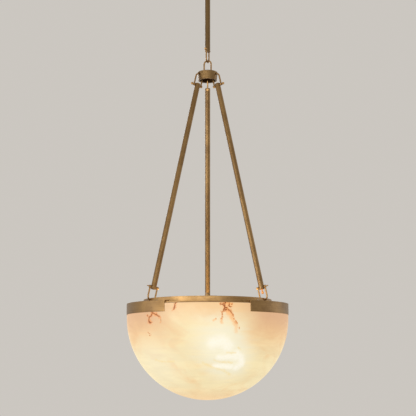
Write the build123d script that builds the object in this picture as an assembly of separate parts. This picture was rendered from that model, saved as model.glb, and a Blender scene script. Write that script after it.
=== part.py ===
from build123d import *
import os
from math import asin, cos, degrees, radians, sin, sqrt

# Alabaster bowl pendant. Millimetres, +Z up. The origin is on the ceiling, midway between the strap's two
# screw holes. Everything hangs below it, so heights are negative and each follows from the piece above.

# Fits shared by every joint
SEAT_GAP = 0.3
FIT = 0.05

# Ceiling strap: a flat bar whose middle steps down, so that the upper nut stays under the ceiling
STRAP_LENGTH = 110.0
STRAP_WIDTH = 20.0
STRAP_THICKNESS = 2.5
STRAP_STEP = 9.5
STRAP_MIDDLE = 52.0
STRAP_HOLE_SPACING = 88.9
STRAP_HOLE = 5.0

# Nipple, its hexagon nuts and the collar that holds the canopy up
NIPPLE_DIAMETER = 9.5
NIPPLE_BORE = 6.0
NIPPLE_ABOVE_STRAP = 6.0
NUT_ACROSS_CORNERS = 16.0
NUT_HEIGHT = 4.0
COLLAR_DIAMETER = 22.0
COLLAR_HEIGHT = 8.0

# Canopy: a spun dish
CANOPY_DIAMETER = 127.0
CANOPY_DEPTH = 26.0
CANOPY_WALL = 1.5
CANOPY_EDGE_RADIUS = 9.0

# Swivel: a forked yoke that turns on the nipple, a cross pin, and a tongue that tilts on the pin
YOKE_DIAMETER = 22.0
YOKE_FLAT = 19.0
YOKE_GRIP = 12.0
YOKE_FLOOR = 5.0
FORK_SLOT = 8.0
FORK_ROOF = 10.5
WIRE_WAY = 5.0
SWIVEL_PIN_DIAMETER = 6.0
SWIVEL_PIN_HEAD = 10.0
SWIVEL_PIN_HEAD_HEIGHT = 1.8
TONGUE_GAP = 0.3
TONGUE_EYE = 18.0
TONGUE_NECK = 12.0
TONGUE_REACH = 15.0
TONGUE_SHOULDER = 6.0
TONGUE_SPIGOT = 20.0

# Stem and rods: round tubes with a turned plug in each plain end
STEM_DIAMETER = 17.0
STEM_WALL = 1.5
STEM_LENGTH = 252.0
ROD_DIAMETER = 17.0
ROD_WALL = 1.5
ROD_PIN_SPACING = 677.0
END_PAST_PIN = 6.0
PLUG_CAP = 1.5
PLUG_DEPTH = 14.0
PLUG_CHAMFER = 0.6

# Shackles and bow: round bar bent to a U
BAR_DIAMETER = 5.0
SHACKLE_SPAN = 25.0
SHACKLE_REACH = 38.5
EYE_DIAMETER = 9.0
STEM_SHACKLE_HEADING = 250.0
BOW_SPAN = 24.0
BOW_HEIGHT = 36.8

# Shackle pins
PIN_DIAMETER = 4.0
PIN_BALL = 8.5
PIN_BALL_NECK = 5.0
PIN_BUTTON = 7.0
PIN_BUTTON_HEIGHT = 1.6
PIN_TIP = 3.2
PIN_TIP_LENGTH = 8.5

# Hub: a shallow cup, open below, that narrows downwards
HUB_DIAMETER = 65.0
HUB_FOOT_DIAMETER = 60.0
HUB_HEIGHT = 28.0
HUB_WALL = 4.5
HUB_ROOF = 4.0
HUB_CHAMFER = 1.2
HUB_SEAT_DROP = 11.1
HUB_HOLE = 8.0

# Hoop and rim plate
HOOP_DIAMETER = 403.0
HOOP_WALL = 4.0
HOOP_HEIGHT = 17.7
HOOP_SEAT_DROP = 4.3
HOOP_HOLE = 9.0
PLATE_THICKNESS = 3.5
PLATE_INNER_DIAMETER = 360.0

# Bowl and the clips that wrap its rim
BOWL_DIAMETER = 506.0
BOWL_WALL = 12.0
BOWL_UPSTAND = 34.5
BOWL_EDGE = 1.0
GASKET_THICKNESS = 1.0
GASKET_INSET = 0.5
CLIP_ARC = 60.0
CLIP_HEIGHT = 33.8
CLIP_WALL = 4.5
CLIP_FLANGE = 4.3
CLIP_FLANGE_WIDTH = 26.5
CLIP_PROUD = 1.0
CLIP_SCREW_ANGLE = 20.0
CLIP_SCREW_INSET = 12.0
BOWL_SCREW_DROP = 17.0
BOWL_SCREW_GRIP = 3.0
WASHER_DIAMETER = 11.0
WASHER_THICKNESS = 1.0

# Screws: slotted pan heads
SMALL_SCREW = 4.0
BOWL_SCREW = 5.0
HEAD_RATIO = 1.9
HEAD_HEIGHT_RATIO = 0.6
SLOT_RATIO = 0.22

# Lamp spider and what it carries
SPIDER_DISC = 150.0
SPIDER_ARM_WIDTH = 16.0
SPIDER_THICKNESS = 3.0
SPIDER_ARM_GAP = 2.5
SPIDER_SCREW_INSET = 9.0
LAMP_CIRCLE = 96.0
HOLDER_DIAMETER = 40.0
HOLDER_LENGTH = 50.0
HOLDER_SKIRT = 34.0
HOLDER_STUB = 9.0
COVER_DIAMETER = 126.0
COVER_HEIGHT = 26.0
COVER_WALL = 1.2
COVER_EDGE_RADIUS = 10.0
STUD_DIAMETER = 6.0
STUD_PAST_COVER = 8.0
FINIAL_DIAMETER = 16.0
FINIAL_HEIGHT = 12.0
INLET_DIAMETER = 12.0
INLET_BORE = 5.0
INLET_LENGTH = 9.0
INLET_FLANGE = 2.0
INLET_HEIGHT = 11.0
BUSHING_DIAMETER = 7.0
BUSHING_WAIST = 4.0
BUSHING_LENGTH = 15.0
BUSHING_FLANGE = 2.0
BUSHING_HEAD = 8.0

# Bulbs
BULB_DIAMETER = 60.0
BULB_NECK = 25.0
BULB_NECK_LENGTH = 10.0
BULB_SHOULDER = 35.0
BULB_WALL = 1.0
CAP_DIAMETER = 26.0
CAP_LENGTH = 26.0
CAP_CONTACT = 10.0
CAP_CONTACT_LENGTH = 3.0
CAP_CLEARANCE = 0.25
CAP_SHOWING = 2.0

# Where the three rods stand, seen from above, and where the three spider arms run between them
ROD_HEADINGS = {"back": 90.0, "right": 330.0, "left": 210.0}
ARM_HEADINGS = (30.0, 150.0, 270.0)
LEAD_ROD = "right"

BASE = (Align.CENTER, Align.CENTER, Align.MIN)
HANG = (Align.CENTER, Align.CENTER, Align.MAX)

# Heights from the ceiling down to the hub
strap_top = -STRAP_STEP
strap_bottom = strap_top - STRAP_THICKNESS
canopy_bottom = -CANOPY_DEPTH
collar_bottom = canopy_bottom - COLLAR_HEIGHT
yoke_top = collar_bottom - SEAT_GAP
nipple_top = strap_top + NIPPLE_ABOVE_STRAP
nipple_bottom = yoke_top - YOKE_GRIP
fork_roof = nipple_bottom - SEAT_GAP - YOKE_FLOOR
swivel_axis = fork_roof - FORK_ROOF
stem_top = swivel_axis - TONGUE_REACH - TONGUE_SHOULDER
stem_bottom = stem_top - STEM_LENGTH
stem_pin = stem_bottom + END_PAST_PIN
stem_seat = stem_pin - SHACKLE_REACH
bow_inside = stem_seat + SEAT_GAP
hub_top = bow_inside - BOW_HEIGHT
hub_bottom = hub_top - HUB_HEIGHT
hub_seat = hub_top - HUB_SEAT_DROP


def hub_radius(height):
    """Outer radius of the tapered hub at a height."""
    share = (hub_top - height) / HUB_HEIGHT
    return (HUB_DIAMETER + share * (HUB_FOOT_DIAMETER - HUB_DIAMETER)) / 2


# The rods lean outwards from the middle of the hub's wall to the middle of the hoop's wall
bar_radius = BAR_DIAMETER / 2
bend_inside = SHACKLE_SPAN / 2 - bar_radius
hoop_radius = HOOP_DIAMETER / 2
hub_seat_radius = hub_radius(hub_seat) - HUB_WALL / 2
hoop_seat_radius = hoop_radius - HOOP_WALL / 2
seat_spacing = ROD_PIN_SPACING + 2 * SHACKLE_REACH
lean = degrees(asin((hoop_seat_radius - hub_seat_radius) / seat_spacing))
lean_out = sin(radians(lean))
lean_down = cos(radians(lean))
upper_pin_radius = hub_seat_radius + SHACKLE_REACH * lean_out
upper_pin = hub_seat - SHACKLE_REACH * lean_down

# Heights from the hoop down
hoop_seat = hub_seat - seat_spacing * lean_down
hoop_top = hoop_seat + HOOP_SEAT_DROP
plate_top = hoop_top - HOOP_HEIGHT
plate_bottom = plate_top - PLATE_THICKNESS
bowl_rim = plate_bottom - GASKET_THICKNESS
bowl_centre = bowl_rim - BOWL_UPSTAND
bowl_radius = BOWL_DIAMETER / 2
bowl_inside = bowl_radius - BOWL_WALL
clip_top = plate_top + CLIP_FLANGE
clip_bottom = clip_top - CLIP_HEIGHT
clip_outside = bowl_radius + CLIP_PROUD
clip_inside = clip_outside - CLIP_WALL
plate_radius = clip_inside - SEAT_GAP
bowl_screw_height = clip_top - BOWL_SCREW_DROP
clip_screw_radius = clip_outside - CLIP_FLANGE_WIDTH + CLIP_SCREW_INSET / 2
spider_top = plate_top + SPIDER_THICKNESS
cover_top = spider_top + COVER_HEIGHT
holder_bottom = plate_top - HOLDER_LENGTH
cap_top = holder_bottom + CAP_LENGTH - CAP_SHOWING
cap_bottom = cap_top - CAP_LENGTH


def turned(points, arc=360.0, start=0.0):
    """Turns an outline of (radius, height) points about the vertical axis."""
    outline = Polyline(*[(radius, 0, height) for radius, height in points], close=True)
    return Rot(0, 0, start) * revolve(make_face(outline), Axis.Z, arc)


def pipe(outer_radius, inner_radius, bottom, top):
    """A plain vertical tube."""
    outside = Cylinder(outer_radius, top - bottom, align=BASE)
    inside = Cylinder(inner_radius, top - bottom, align=BASE)
    return Pos(0, 0, bottom) * (outside - inside)


def dish(radius, depth, wall, edge_radius, hole_radius):
    """An upside-down cap with a rounded edge, its open rim at height 0 and its closed end at -depth."""
    outside = Cylinder(radius, depth, align=HANG)
    outside = fillet(outside.faces().sort_by(Axis.Z)[0].edges(), edge_radius)
    inside = Cylinder(radius - wall, depth - wall, align=HANG)
    inside = fillet(inside.faces().sort_by(Axis.Z)[0].edges(), edge_radius - wall)
    return outside - inside - Cylinder(hole_radius, depth, align=HANG)


def along_x(radius, start, end):
    """A round bar on the X axis from one place to another."""
    return Pos(start, 0, 0) * Rot(0, 90, 0) * Cylinder(radius, end - start, align=BASE)


def radial_bar(heading, height, radius, start, end):
    """A level bar that points away from the vertical axis, from one radius to another."""
    return Rot(0, 0, heading) * Pos(0, 0, height) * along_x(radius, start, end)


def hex_nut(bore_radius, bottom):
    """A hexagon nut with its lower face at a height."""
    blank = extrude(RegularPolygon(NUT_ACROSS_CORNERS / 2, 6), NUT_HEIGHT)
    return Pos(0, 0, bottom) * (blank - Cylinder(bore_radius, NUT_HEIGHT, align=BASE))


def pan_screw(size, length):
    """A slotted screw pointing down, with the underside of its head at the origin."""
    head_radius = size * HEAD_RATIO / 2
    head_height = size * HEAD_HEIGHT_RATIO
    head = Cylinder(head_radius, head_height, align=BASE)
    head = fillet(head.faces().sort_by(Axis.Z)[-1].edges(), head_height / 2)
    slot = Pos(0, 0, head_height) * Box(2 * head_radius, size * SLOT_RATIO, head_height)
    return head - slot + Cylinder(size / 2, length, align=HANG)


def group(solids):
    """Separate solids that share one node."""
    return Compound(children=[solid for item in solids for solid in item.solids()])


# ---- Ceiling fitting -------------------------------------------------------------------------------------


def ceiling_strap():
    pad = (STRAP_LENGTH - STRAP_MIDDLE) / 2
    pad_centre = (STRAP_LENGTH + STRAP_MIDDLE) / 4
    riser_centre = (STRAP_MIDDLE + STRAP_THICKNESS) / 2
    strap = Pos(0, 0, strap_bottom) * Box(STRAP_MIDDLE, STRAP_WIDTH, STRAP_THICKNESS, align=BASE)
    for side in (-1, 1):
        strap += Pos(side * pad_centre, 0, 0) * Box(pad, STRAP_WIDTH, STRAP_THICKNESS, align=HANG)
        strap += Pos(side * riser_centre, 0, 0) * Box(STRAP_THICKNESS, STRAP_WIDTH, -strap_bottom, align=HANG)
        strap -= Pos(side * STRAP_HOLE_SPACING / 2, 0, 0) * Cylinder(STRAP_HOLE / 2, 2 * STRAP_THICKNESS)
    return strap - Pos(0, 0, strap_top) * Cylinder(NIPPLE_DIAMETER / 2 + FIT, 2 * STRAP_THICKNESS)


def ceiling_nipple():
    return pipe(NIPPLE_DIAMETER / 2, NIPPLE_BORE / 2, nipple_bottom, nipple_top)


def nipple_nuts():
    bore = NIPPLE_DIAMETER / 2 + FIT
    return group([hex_nut(bore, strap_top), hex_nut(bore, strap_bottom - NUT_HEIGHT)])


def canopy():
    hole = NIPPLE_DIAMETER / 2 + SEAT_GAP
    return dish(CANOPY_DIAMETER / 2, CANOPY_DEPTH, CANOPY_WALL, CANOPY_EDGE_RADIUS, hole)


def canopy_collar():
    collar = pipe(COLLAR_DIAMETER / 2, NIPPLE_DIAMETER / 2 + FIT, collar_bottom, canopy_bottom)
    return chamfer(collar.edges().filter_by(GeomType.CIRCLE).sort_by(SortBy.RADIUS)[-2:], COLLAR_HEIGHT / 10)


# ---- Swivel ----------------------------------------------------------------------------------------------


def across_y(radius, length):
    """A round bar that lies along Y, centred on the swivel's axis."""
    return Pos(0, 0, swivel_axis) * Rot(90, 0, 0) * Cylinder(radius, length)


def swivel_yoke():
    radius = YOKE_DIAMETER / 2
    upper = Pos(0, 0, swivel_axis) * Cylinder(radius, yoke_top - swivel_axis, align=BASE)
    lower = Pos(0, 0, swivel_axis) * Cylinder(radius, radius, align=HANG) & across_y(radius, YOKE_DIAMETER)
    yoke = upper + lower
    for side in (-1, 1):
        flat = Box(YOKE_DIAMETER, YOKE_DIAMETER, YOKE_DIAMETER + FORK_ROOF, align=HANG)
        yoke -= Pos(0, side * (YOKE_FLAT + YOKE_DIAMETER) / 2, fork_roof) * flat
    slot = Box(YOKE_DIAMETER, FORK_SLOT, YOKE_DIAMETER + FORK_ROOF, align=HANG)
    yoke -= Pos(0, 0, fork_roof) * slot
    yoke -= Pos(0, 0, yoke_top) * Cylinder(NIPPLE_DIAMETER / 2 + FIT, YOKE_GRIP + SEAT_GAP, align=HANG)
    yoke -= Pos(0, 0, yoke_top) * Cylinder(WIRE_WAY / 2, yoke_top - fork_roof, align=HANG)
    return yoke - across_y(SWIVEL_PIN_DIAMETER / 2 + FIT, YOKE_DIAMETER)


def swivel_pin():
    reach = YOKE_FLAT / 2 + SEAT_GAP
    pin = across_y(SWIVEL_PIN_DIAMETER / 2, 2 * reach)
    head = across_y(SWIVEL_PIN_HEAD / 2, SWIVEL_PIN_HEAD_HEIGHT)
    for side in (-1, 1):
        pin += Pos(0, side * (reach + SWIVEL_PIN_HEAD_HEIGHT / 2), 0) * head
    return pin


def swivel_tongue():
    thickness = FORK_SLOT - 2 * TONGUE_GAP
    tongue = across_y(TONGUE_EYE / 2, thickness)
    tongue += Pos(0, 0, swivel_axis) * Box(TONGUE_NECK, thickness, TONGUE_REACH, align=HANG)
    tongue -= across_y(SWIVEL_PIN_DIAMETER / 2 + FIT, thickness)
    tongue += Pos(0, 0, stem_top) * Cylinder(STEM_DIAMETER / 2, TONGUE_SHOULDER, align=BASE)
    spigot = Cylinder(STEM_DIAMETER / 2 - STEM_WALL - FIT, TONGUE_SPIGOT, align=HANG)
    return tongue + Pos(0, 0, stem_top) * spigot


# ---- Tubes, plugs, shackles and pins, each drawn about a pin that lies along X ---------------------------


def pin_bore(length):
    """What is drilled away for a shackle pin through the origin."""
    return along_x(PIN_DIAMETER / 2 + FIT, -length, length)


def end_plug(tube_diameter, tube_wall):
    """The plug in a tube's lower end, drawn about the cross pin above that end."""
    cap = Pos(0, 0, -END_PAST_PIN) * Cylinder(tube_diameter / 2, PLUG_CAP, align=BASE)
    cap = chamfer(cap.faces().sort_by(Axis.Z)[0].edges(), PLUG_CHAMFER)
    spigot = Cylinder(tube_diameter / 2 - tube_wall - FIT, PLUG_DEPTH, align=BASE)
    return cap + Pos(0, 0, PLUG_CAP - END_PAST_PIN) * spigot - pin_bore(tube_diameter)


def shackle():
    """A U of round bar that hangs from its pin, with an eye at each end."""
    straight = SHACKLE_REACH - bend_inside
    shape = Pos(0, 0, -straight) * revolve(Pos(SHACKLE_SPAN / 2, 0) * Circle(bar_radius), Axis.Y, 180)
    for side in (-1, 1):
        shape += Pos(side * SHACKLE_SPAN / 2, 0, 0) * Cylinder(bar_radius, straight, align=HANG)
        shape += Pos(side * SHACKLE_SPAN / 2, 0, 0) * Rot(0, 90, 0) * Cylinder(EYE_DIAMETER / 2, BAR_DIAMETER)
    return shape - pin_bore(SHACKLE_SPAN)


def pin_shank(button_side):
    """A shackle pin's shank, riveted over a button on one side."""
    face = (SHACKLE_SPAN + BAR_DIAMETER) / 2 + SEAT_GAP
    ends = sorted((face * button_side, (face + PIN_BUTTON_HEIGHT) * button_side))
    return along_x(PIN_DIAMETER / 2, -face, face) + along_x(PIN_BUTTON / 2, *ends)


def ball_pin():
    """A shackle pin with a ball on its +X end."""
    neck_end = (SHACKLE_SPAN + BAR_DIAMETER) / 2 + PIN_BALL_NECK
    return pin_shank(-1) + along_x(PIN_DIAMETER / 2, 0, neck_end) + Pos(neck_end, 0, 0) * Sphere(PIN_BALL / 2)


def slim_pin():
    """A shackle pin with a slim tip on its +X end."""
    face = (SHACKLE_SPAN + BAR_DIAMETER) / 2
    tip = along_x(PIN_TIP / 2, 0, face + PIN_TIP_LENGTH)
    tip = chamfer(tip.faces().sort_by(Axis.X)[-1].edges(), PIN_TIP / 4)
    return pin_shank(-1) + tip


def rod():
    """A rod drawn down from its upper pin."""
    length = ROD_PIN_SPACING + 2 * (END_PAST_PIN - PLUG_CAP)
    tube = pipe(ROD_DIAMETER / 2, ROD_DIAMETER / 2 - ROD_WALL, -length, 0)
    tube = Pos(0, 0, END_PAST_PIN - PLUG_CAP) * tube
    return tube - pin_bore(ROD_DIAMETER) - Pos(0, 0, -ROD_PIN_SPACING) * pin_bore(ROD_DIAMETER)


def rod_plugs():
    plug = end_plug(ROD_DIAMETER, ROD_WALL)
    return group([Rot(180, 0, 0) * plug, Pos(0, 0, -ROD_PIN_SPACING) * plug])


def lead_bushing():
    """The bushing that the lamp lead leaves a rod by, drawn down from the end of the rod."""
    head = Cylinder(BUSHING_DIAMETER / 2, BUSHING_FLANGE, align=HANG)
    waist = Cylinder(BUSHING_WAIST / 2, BUSHING_LENGTH - BUSHING_HEAD, align=HANG)
    foot = Pos(0, 0, -BUSHING_LENGTH) * Cylinder(BUSHING_DIAMETER / 2, BUSHING_HEAD, align=BASE)
    foot = fillet(foot.edges().filter_by(GeomType.CIRCLE), BUSHING_DIAMETER / 4)
    return head + waist + foot


def rod_frame(heading):
    """The upper pin of the rod at a heading: X runs out along the pin, Z runs up along the rod."""
    return Rot(0, 0, heading) * Pos(upper_pin_radius, 0, upper_pin) * Rot(0, -lean, 0)


# ---- Stem and hub ----------------------------------------------------------------------------------------


def stem_frame():
    """The stem's lower pin, with X along it."""
    return Pos(0, 0, stem_pin) * Rot(0, 0, STEM_SHACKLE_HEADING)


def stem_tube():
    tube = pipe(STEM_DIAMETER / 2, STEM_DIAMETER / 2 - STEM_WALL, stem_bottom + PLUG_CAP, stem_top)
    return tube - stem_frame() * pin_bore(STEM_DIAMETER)


def hub_bow():
    """An upright arch of bar, square to the stem's shackle, whose legs are brazed through the hub's roof."""
    arch_centre = bow_inside - BOW_SPAN / 2 + bar_radius
    leg = arch_centre - hub_top + HUB_ROOF
    arch = Rot(180, 0, 0) * revolve(Pos(BOW_SPAN / 2, 0) * Circle(bar_radius), Axis.Y, 180)
    for side in (-1, 1):
        arch += Pos(side * BOW_SPAN / 2, 0, 0) * Cylinder(bar_radius, leg, align=HANG)
    return Pos(0, 0, arch_centre) * Rot(0, 0, STEM_SHACKLE_HEADING + 90) * arch


def hub_hole_height():
    """Middle of the hub's holes: the bar rests just clear of their lower edge, all through the wall."""
    bend_centre = hub_seat_radius + bend_inside * lean_out
    inner_face = hub_seat_radius - HUB_WALL / 2
    underside = hub_seat - bend_inside * lean_down + sqrt(bend_inside**2 - (bend_centre - inner_face) ** 2)
    return underside - SEAT_GAP + HUB_HOLE / 2


def hub_cup():
    foot = HUB_FOOT_DIAMETER / 2
    roof = hub_top - HUB_ROOF
    brim = HUB_DIAMETER / 2
    outline = [(0, hub_top), (brim - HUB_CHAMFER, hub_top), (brim, hub_top - HUB_CHAMFER), (foot, hub_bottom)]
    outline += [(foot - HUB_WALL, hub_bottom), (hub_radius(roof) - HUB_WALL, roof), (0, roof)]
    cup = turned(outline)
    for heading in ROD_HEADINGS.values():
        cup -= radial_bar(heading, hub_hole_height(), HUB_HOLE / 2, bar_radius, HUB_DIAMETER)
    for side in (-1, 1):
        leg = Pos(side * BOW_SPAN / 2, 0, hub_top) * Cylinder(bar_radius + FIT, 2 * HUB_ROOF)
        cup -= Rot(0, 0, STEM_SHACKLE_HEADING + 90) * leg
    return cup


# ---- Ring and bowl ---------------------------------------------------------------------------------------


def hoop_hole_height():
    """Middle of the hoop's holes: their upper edge stays just clear of the bar, all through the wall."""
    bend_centre = hoop_seat_radius - bend_inside * lean_out
    topside = hoop_seat + bend_inside * lean_down - sqrt(bend_inside**2 - (hoop_radius - bend_centre) ** 2)
    return topside + SEAT_GAP - HOOP_HOLE / 2


def hoop():
    ring = pipe(hoop_radius, hoop_radius - HOOP_WALL, plate_top, hoop_top)
    for heading in ROD_HEADINGS.values():
        inner_end = hoop_radius - 2 * HOOP_WALL
        ring -= radial_bar(heading, hoop_hole_height(), HOOP_HOLE / 2, inner_end, HOOP_DIAMETER)
    return ring


def clip_screw_places():
    """Headings of the screws, two to a clip."""
    return [heading + side * CLIP_SCREW_ANGLE for heading in ROD_HEADINGS.values() for side in (-1, 1)]


def screw_bores(places, radius, size, bottom, top):
    """Upright screw holes at headings, all at one radius."""
    bore = Pos(radius, 0, bottom) * Cylinder(size / 2 + FIT, top - bottom, align=BASE)
    return [Rot(0, 0, heading) * bore for heading in places]


def spider_screw_radius():
    return PLATE_INNER_DIAMETER / 2 + SPIDER_SCREW_INSET


def rim_plate():
    plate = pipe(plate_radius, PLATE_INNER_DIAMETER / 2, plate_bottom, plate_top)
    plate -= screw_bores(clip_screw_places(), clip_screw_radius, SMALL_SCREW, plate_bottom, plate_top)
    return plate - screw_bores(ARM_HEADINGS, spider_screw_radius(), SMALL_SCREW, plate_bottom, plate_top)


def rim_clip(heading):
    """An L-section arc: its flange lies on the plate and its wall wraps the bowl's rim."""
    flange_inside = clip_outside - CLIP_FLANGE_WIDTH
    outline = [(flange_inside, clip_top), (clip_outside, clip_top), (clip_outside, clip_bottom)]
    outline += [(clip_inside, clip_bottom), (clip_inside, plate_top), (flange_inside, plate_top)]
    clip = turned(outline, CLIP_ARC, heading - CLIP_ARC / 2)
    for side in (-1, 1):
        place = heading + side * CLIP_SCREW_ANGLE
        grip = clip_inside + BOWL_SCREW_GRIP
        clip -= radial_bar(place, bowl_screw_height, BOWL_SCREW / 2 + FIT, bowl_inside, grip)
        clip -= screw_bores([place], clip_screw_radius, SMALL_SCREW, plate_top, clip_top)
    return clip


def clip_screws():
    screw = Pos(clip_screw_radius, 0, clip_top) * pan_screw(SMALL_SCREW, CLIP_FLANGE + PLATE_THICKNESS)
    return group([Rot(0, 0, place) * screw for place in clip_screw_places()])


def rim_gasket():
    return pipe(plate_radius - GASKET_INSET, bowl_inside + GASKET_INSET, bowl_rim, plate_bottom)


def bowl_solid(radius):
    """A half ball with a straight upstand, up to the rim."""
    foot = bowl_centre - radius
    upstand = Polyline((0, 0, foot), (0, 0, bowl_rim), (radius, 0, bowl_rim), (radius, 0, bowl_centre))
    side = (radius * cos(radians(45)), 0, bowl_centre - radius * sin(radians(45)))
    return revolve(make_face(upstand + ThreePointArc((radius, 0, bowl_centre), side, (0, 0, foot))), Axis.Z)


def bowl():
    outside = bowl_solid(bowl_radius)
    outside = chamfer(outside.faces().sort_by(Axis.Z)[-1].edges(), BOWL_EDGE)
    shell = outside - bowl_solid(bowl_inside)
    rebate_floor = clip_bottom - SEAT_GAP
    slack = degrees(SEAT_GAP / clip_inside)
    deep = clip_inside - SEAT_GAP
    wide = bowl_radius + CLIP_WALL
    outline = [(deep, rebate_floor), (wide, rebate_floor), (wide, plate_top), (deep, plate_top)]
    for heading in ROD_HEADINGS.values():
        shell -= turned(outline, CLIP_ARC + 2 * slack, heading - CLIP_ARC / 2 - slack)
    for place in clip_screw_places():
        bore = BOWL_SCREW / 2 + SEAT_GAP
        shell -= radial_bar(place, bowl_screw_height, bore, bowl_inside - BOWL_WALL, bowl_radius)
    return shell


def bowl_screws():
    seat = washer_seat() - WASHER_THICKNESS
    length = clip_inside + BOWL_SCREW_GRIP - SEAT_GAP - seat
    screw = Pos(seat, 0, bowl_screw_height) * Rot(0, -90, 0) * pan_screw(BOWL_SCREW, length)
    return group([Rot(0, 0, place) * screw for place in clip_screw_places()])


def washer_seat():
    """Radius of the washers' outer faces, whose edges meet the curved inside of the bowl."""
    return sqrt(bowl_inside**2 - (WASHER_DIAMETER / 2) ** 2)


def bowl_washers():
    washers = []
    for place in clip_screw_places():
        ends = (washer_seat() - WASHER_THICKNESS, washer_seat())
        rim = radial_bar(place, bowl_screw_height, WASHER_DIAMETER / 2, *ends)
        hole = radial_bar(place, bowl_screw_height, BOWL_SCREW / 2 + FIT, *ends)
        washers.append(rim - hole)
    return group(washers)


# ---- Lamps -----------------------------------------------------------------------------------------------


def lamp_spider():
    reach = hoop_radius - HOOP_WALL - SPIDER_ARM_GAP
    spider = Pos(0, 0, plate_top) * Cylinder(SPIDER_DISC / 2, SPIDER_THICKNESS, align=BASE)
    arm = Box(reach, SPIDER_ARM_WIDTH, SPIDER_THICKNESS, align=(Align.MIN, Align.CENTER, Align.MIN))
    for heading in ARM_HEADINGS:
        spider += Rot(0, 0, heading) * Pos(0, 0, plate_top) * arm
    spider -= screw_bores(ARM_HEADINGS, spider_screw_radius(), SMALL_SCREW, plate_top, spider_top)
    spider -= screw_bores(ROD_HEADINGS.values(), LAMP_CIRCLE / 2, NIPPLE_DIAMETER, plate_top, spider_top)
    return spider - screw_bores([0], 0, STUD_DIAMETER, plate_top, spider_top)


def spider_screws():
    screw = pan_screw(SMALL_SCREW, SPIDER_THICKNESS + PLATE_THICKNESS)
    screw = Pos(spider_screw_radius(), 0, spider_top) * screw
    return group([Rot(0, 0, heading) * screw for heading in ARM_HEADINGS])


def wiring_cover():
    cover = dish(COVER_DIAMETER / 2, COVER_HEIGHT, COVER_WALL, COVER_EDGE_RADIUS, STUD_DIAMETER / 2 + FIT)
    cover = Pos(0, 0, spider_top) * Rot(180, 0, 0) * cover
    middle = COVER_DIAMETER / 4
    return cover - radial_bar(lead_heading(), inlet_height(), inlet_neck() + FIT, middle, COVER_DIAMETER)


def lead_heading():
    return ROD_HEADINGS[LEAD_ROD]


def inlet_height():
    return spider_top + INLET_HEIGHT


def inlet_neck():
    """Radius of the inlet where it goes through the cover's wall."""
    return INLET_DIAMETER / 2 - INLET_FLANGE / 2


def lead_inlet():
    """The flanged bushing in the side of the cover."""
    outside = COVER_DIAMETER / 2
    inner_end = outside - COVER_WALL - INLET_FLANGE
    neck = along_x(inlet_neck(), inner_end, inner_end + INLET_LENGTH)
    flange = along_x(INLET_DIAMETER / 2, outside, outside + INLET_FLANGE)
    bore = along_x(INLET_BORE / 2, inner_end, inner_end + INLET_LENGTH)
    return Rot(0, 0, lead_heading()) * Pos(0, 0, inlet_height()) * (neck + flange - bore)


def cover_stud():
    """The stud that holds the cover down, with a foot under the spider."""
    foot = Pos(0, 0, plate_top) * Cylinder(STUD_DIAMETER, STUD_DIAMETER / 2, align=HANG)
    length = cover_top + STUD_PAST_COVER - plate_top
    return foot + Pos(0, 0, plate_top) * Cylinder(STUD_DIAMETER / 2, length, align=BASE)


def cover_finial():
    """The knurled cap nut on the stud."""
    nut = Cylinder(FINIAL_DIAMETER / 2, FINIAL_HEIGHT, align=BASE)
    nut = fillet(nut.faces().sort_by(Axis.Z)[-1].edges(), FINIAL_DIAMETER / 4)
    nut -= Cylinder(STUD_DIAMETER / 2 + FIT, STUD_PAST_COVER + SEAT_GAP, align=BASE)
    return Pos(0, 0, cover_top) * nut


def at_lamp(name, shape):
    """Puts a shape drawn about a lamp's axis at that lamp."""
    return Rot(0, 0, ROD_HEADINGS[name]) * Pos(LAMP_CIRCLE / 2, 0, 0) * shape


def lampholder():
    """A glazed holder that hangs from the spider by its hollow stub, open below for the bulb's cap."""
    radius = HOLDER_DIAMETER / 2
    neck_top = holder_bottom + HOLDER_SKIRT
    outline = [(0, plate_top), (radius * 0.6, plate_top), (radius * 0.75, neck_top), (radius, neck_top)]
    body = turned(outline + [(radius, holder_bottom), (0, holder_bottom)])
    stub = pipe(NIPPLE_DIAMETER / 2, NIPPLE_BORE / 2, plate_top, plate_top + HOLDER_STUB)
    well = Pos(0, 0, holder_bottom) * Cylinder(CAP_DIAMETER / 2 + CAP_CLEARANCE, well_depth(), align=BASE)
    way = Cylinder(NIPPLE_BORE / 2, HOLDER_LENGTH, align=HANG)
    return body + stub - well - Pos(0, 0, plate_top) * way


def well_depth():
    """The holder's well takes the bulb's cap and its end contact."""
    return CAP_LENGTH - CAP_SHOWING + CAP_CONTACT_LENGTH + CAP_CLEARANCE


def bulb_cap():
    shell = Pos(0, 0, cap_bottom) * Cylinder(CAP_DIAMETER / 2, CAP_LENGTH, align=BASE)
    return shell + Pos(0, 0, cap_top) * Cylinder(CAP_CONTACT / 2, CAP_CONTACT_LENGTH, align=BASE)


def bulb_body(radius, neck, top):
    """A closed bulb: a neck, a cone that meets the ball without a crease, and the ball."""
    turn = radians(BULB_SHOULDER)
    meet_radius = radius * cos(turn)
    cone = (meet_radius - neck) * cos(turn) / sin(turn)
    centre = cap_bottom - BULB_NECK_LENGTH - cone - radius * sin(turn)
    meet = (meet_radius, 0, centre + radius * sin(turn))
    flank = Polyline((0, 0, top), (neck, 0, top), (neck, 0, meet[2] + cone), meet)
    side = (radius * cos(turn / 2), 0, centre - radius * sin(turn / 2))
    ball = ThreePointArc(meet, side, (0, 0, centre - radius))
    axis = Line((0, 0, centre - radius), (0, 0, top))
    return revolve(make_face(flank + ball + axis), Axis.Z)


def bulb_glass():
    outside = bulb_body(BULB_DIAMETER / 2, BULB_NECK / 2, cap_bottom)
    return outside - bulb_body(BULB_DIAMETER / 2 - BULB_WALL, BULB_NECK / 2 - BULB_WALL, cap_bottom - BULB_WALL)


def holder_nuts():
    nut = hex_nut(NIPPLE_DIAMETER / 2 + FIT, spider_top)
    return group([at_lamp(name, nut) for name in ROD_HEADINGS])


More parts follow.
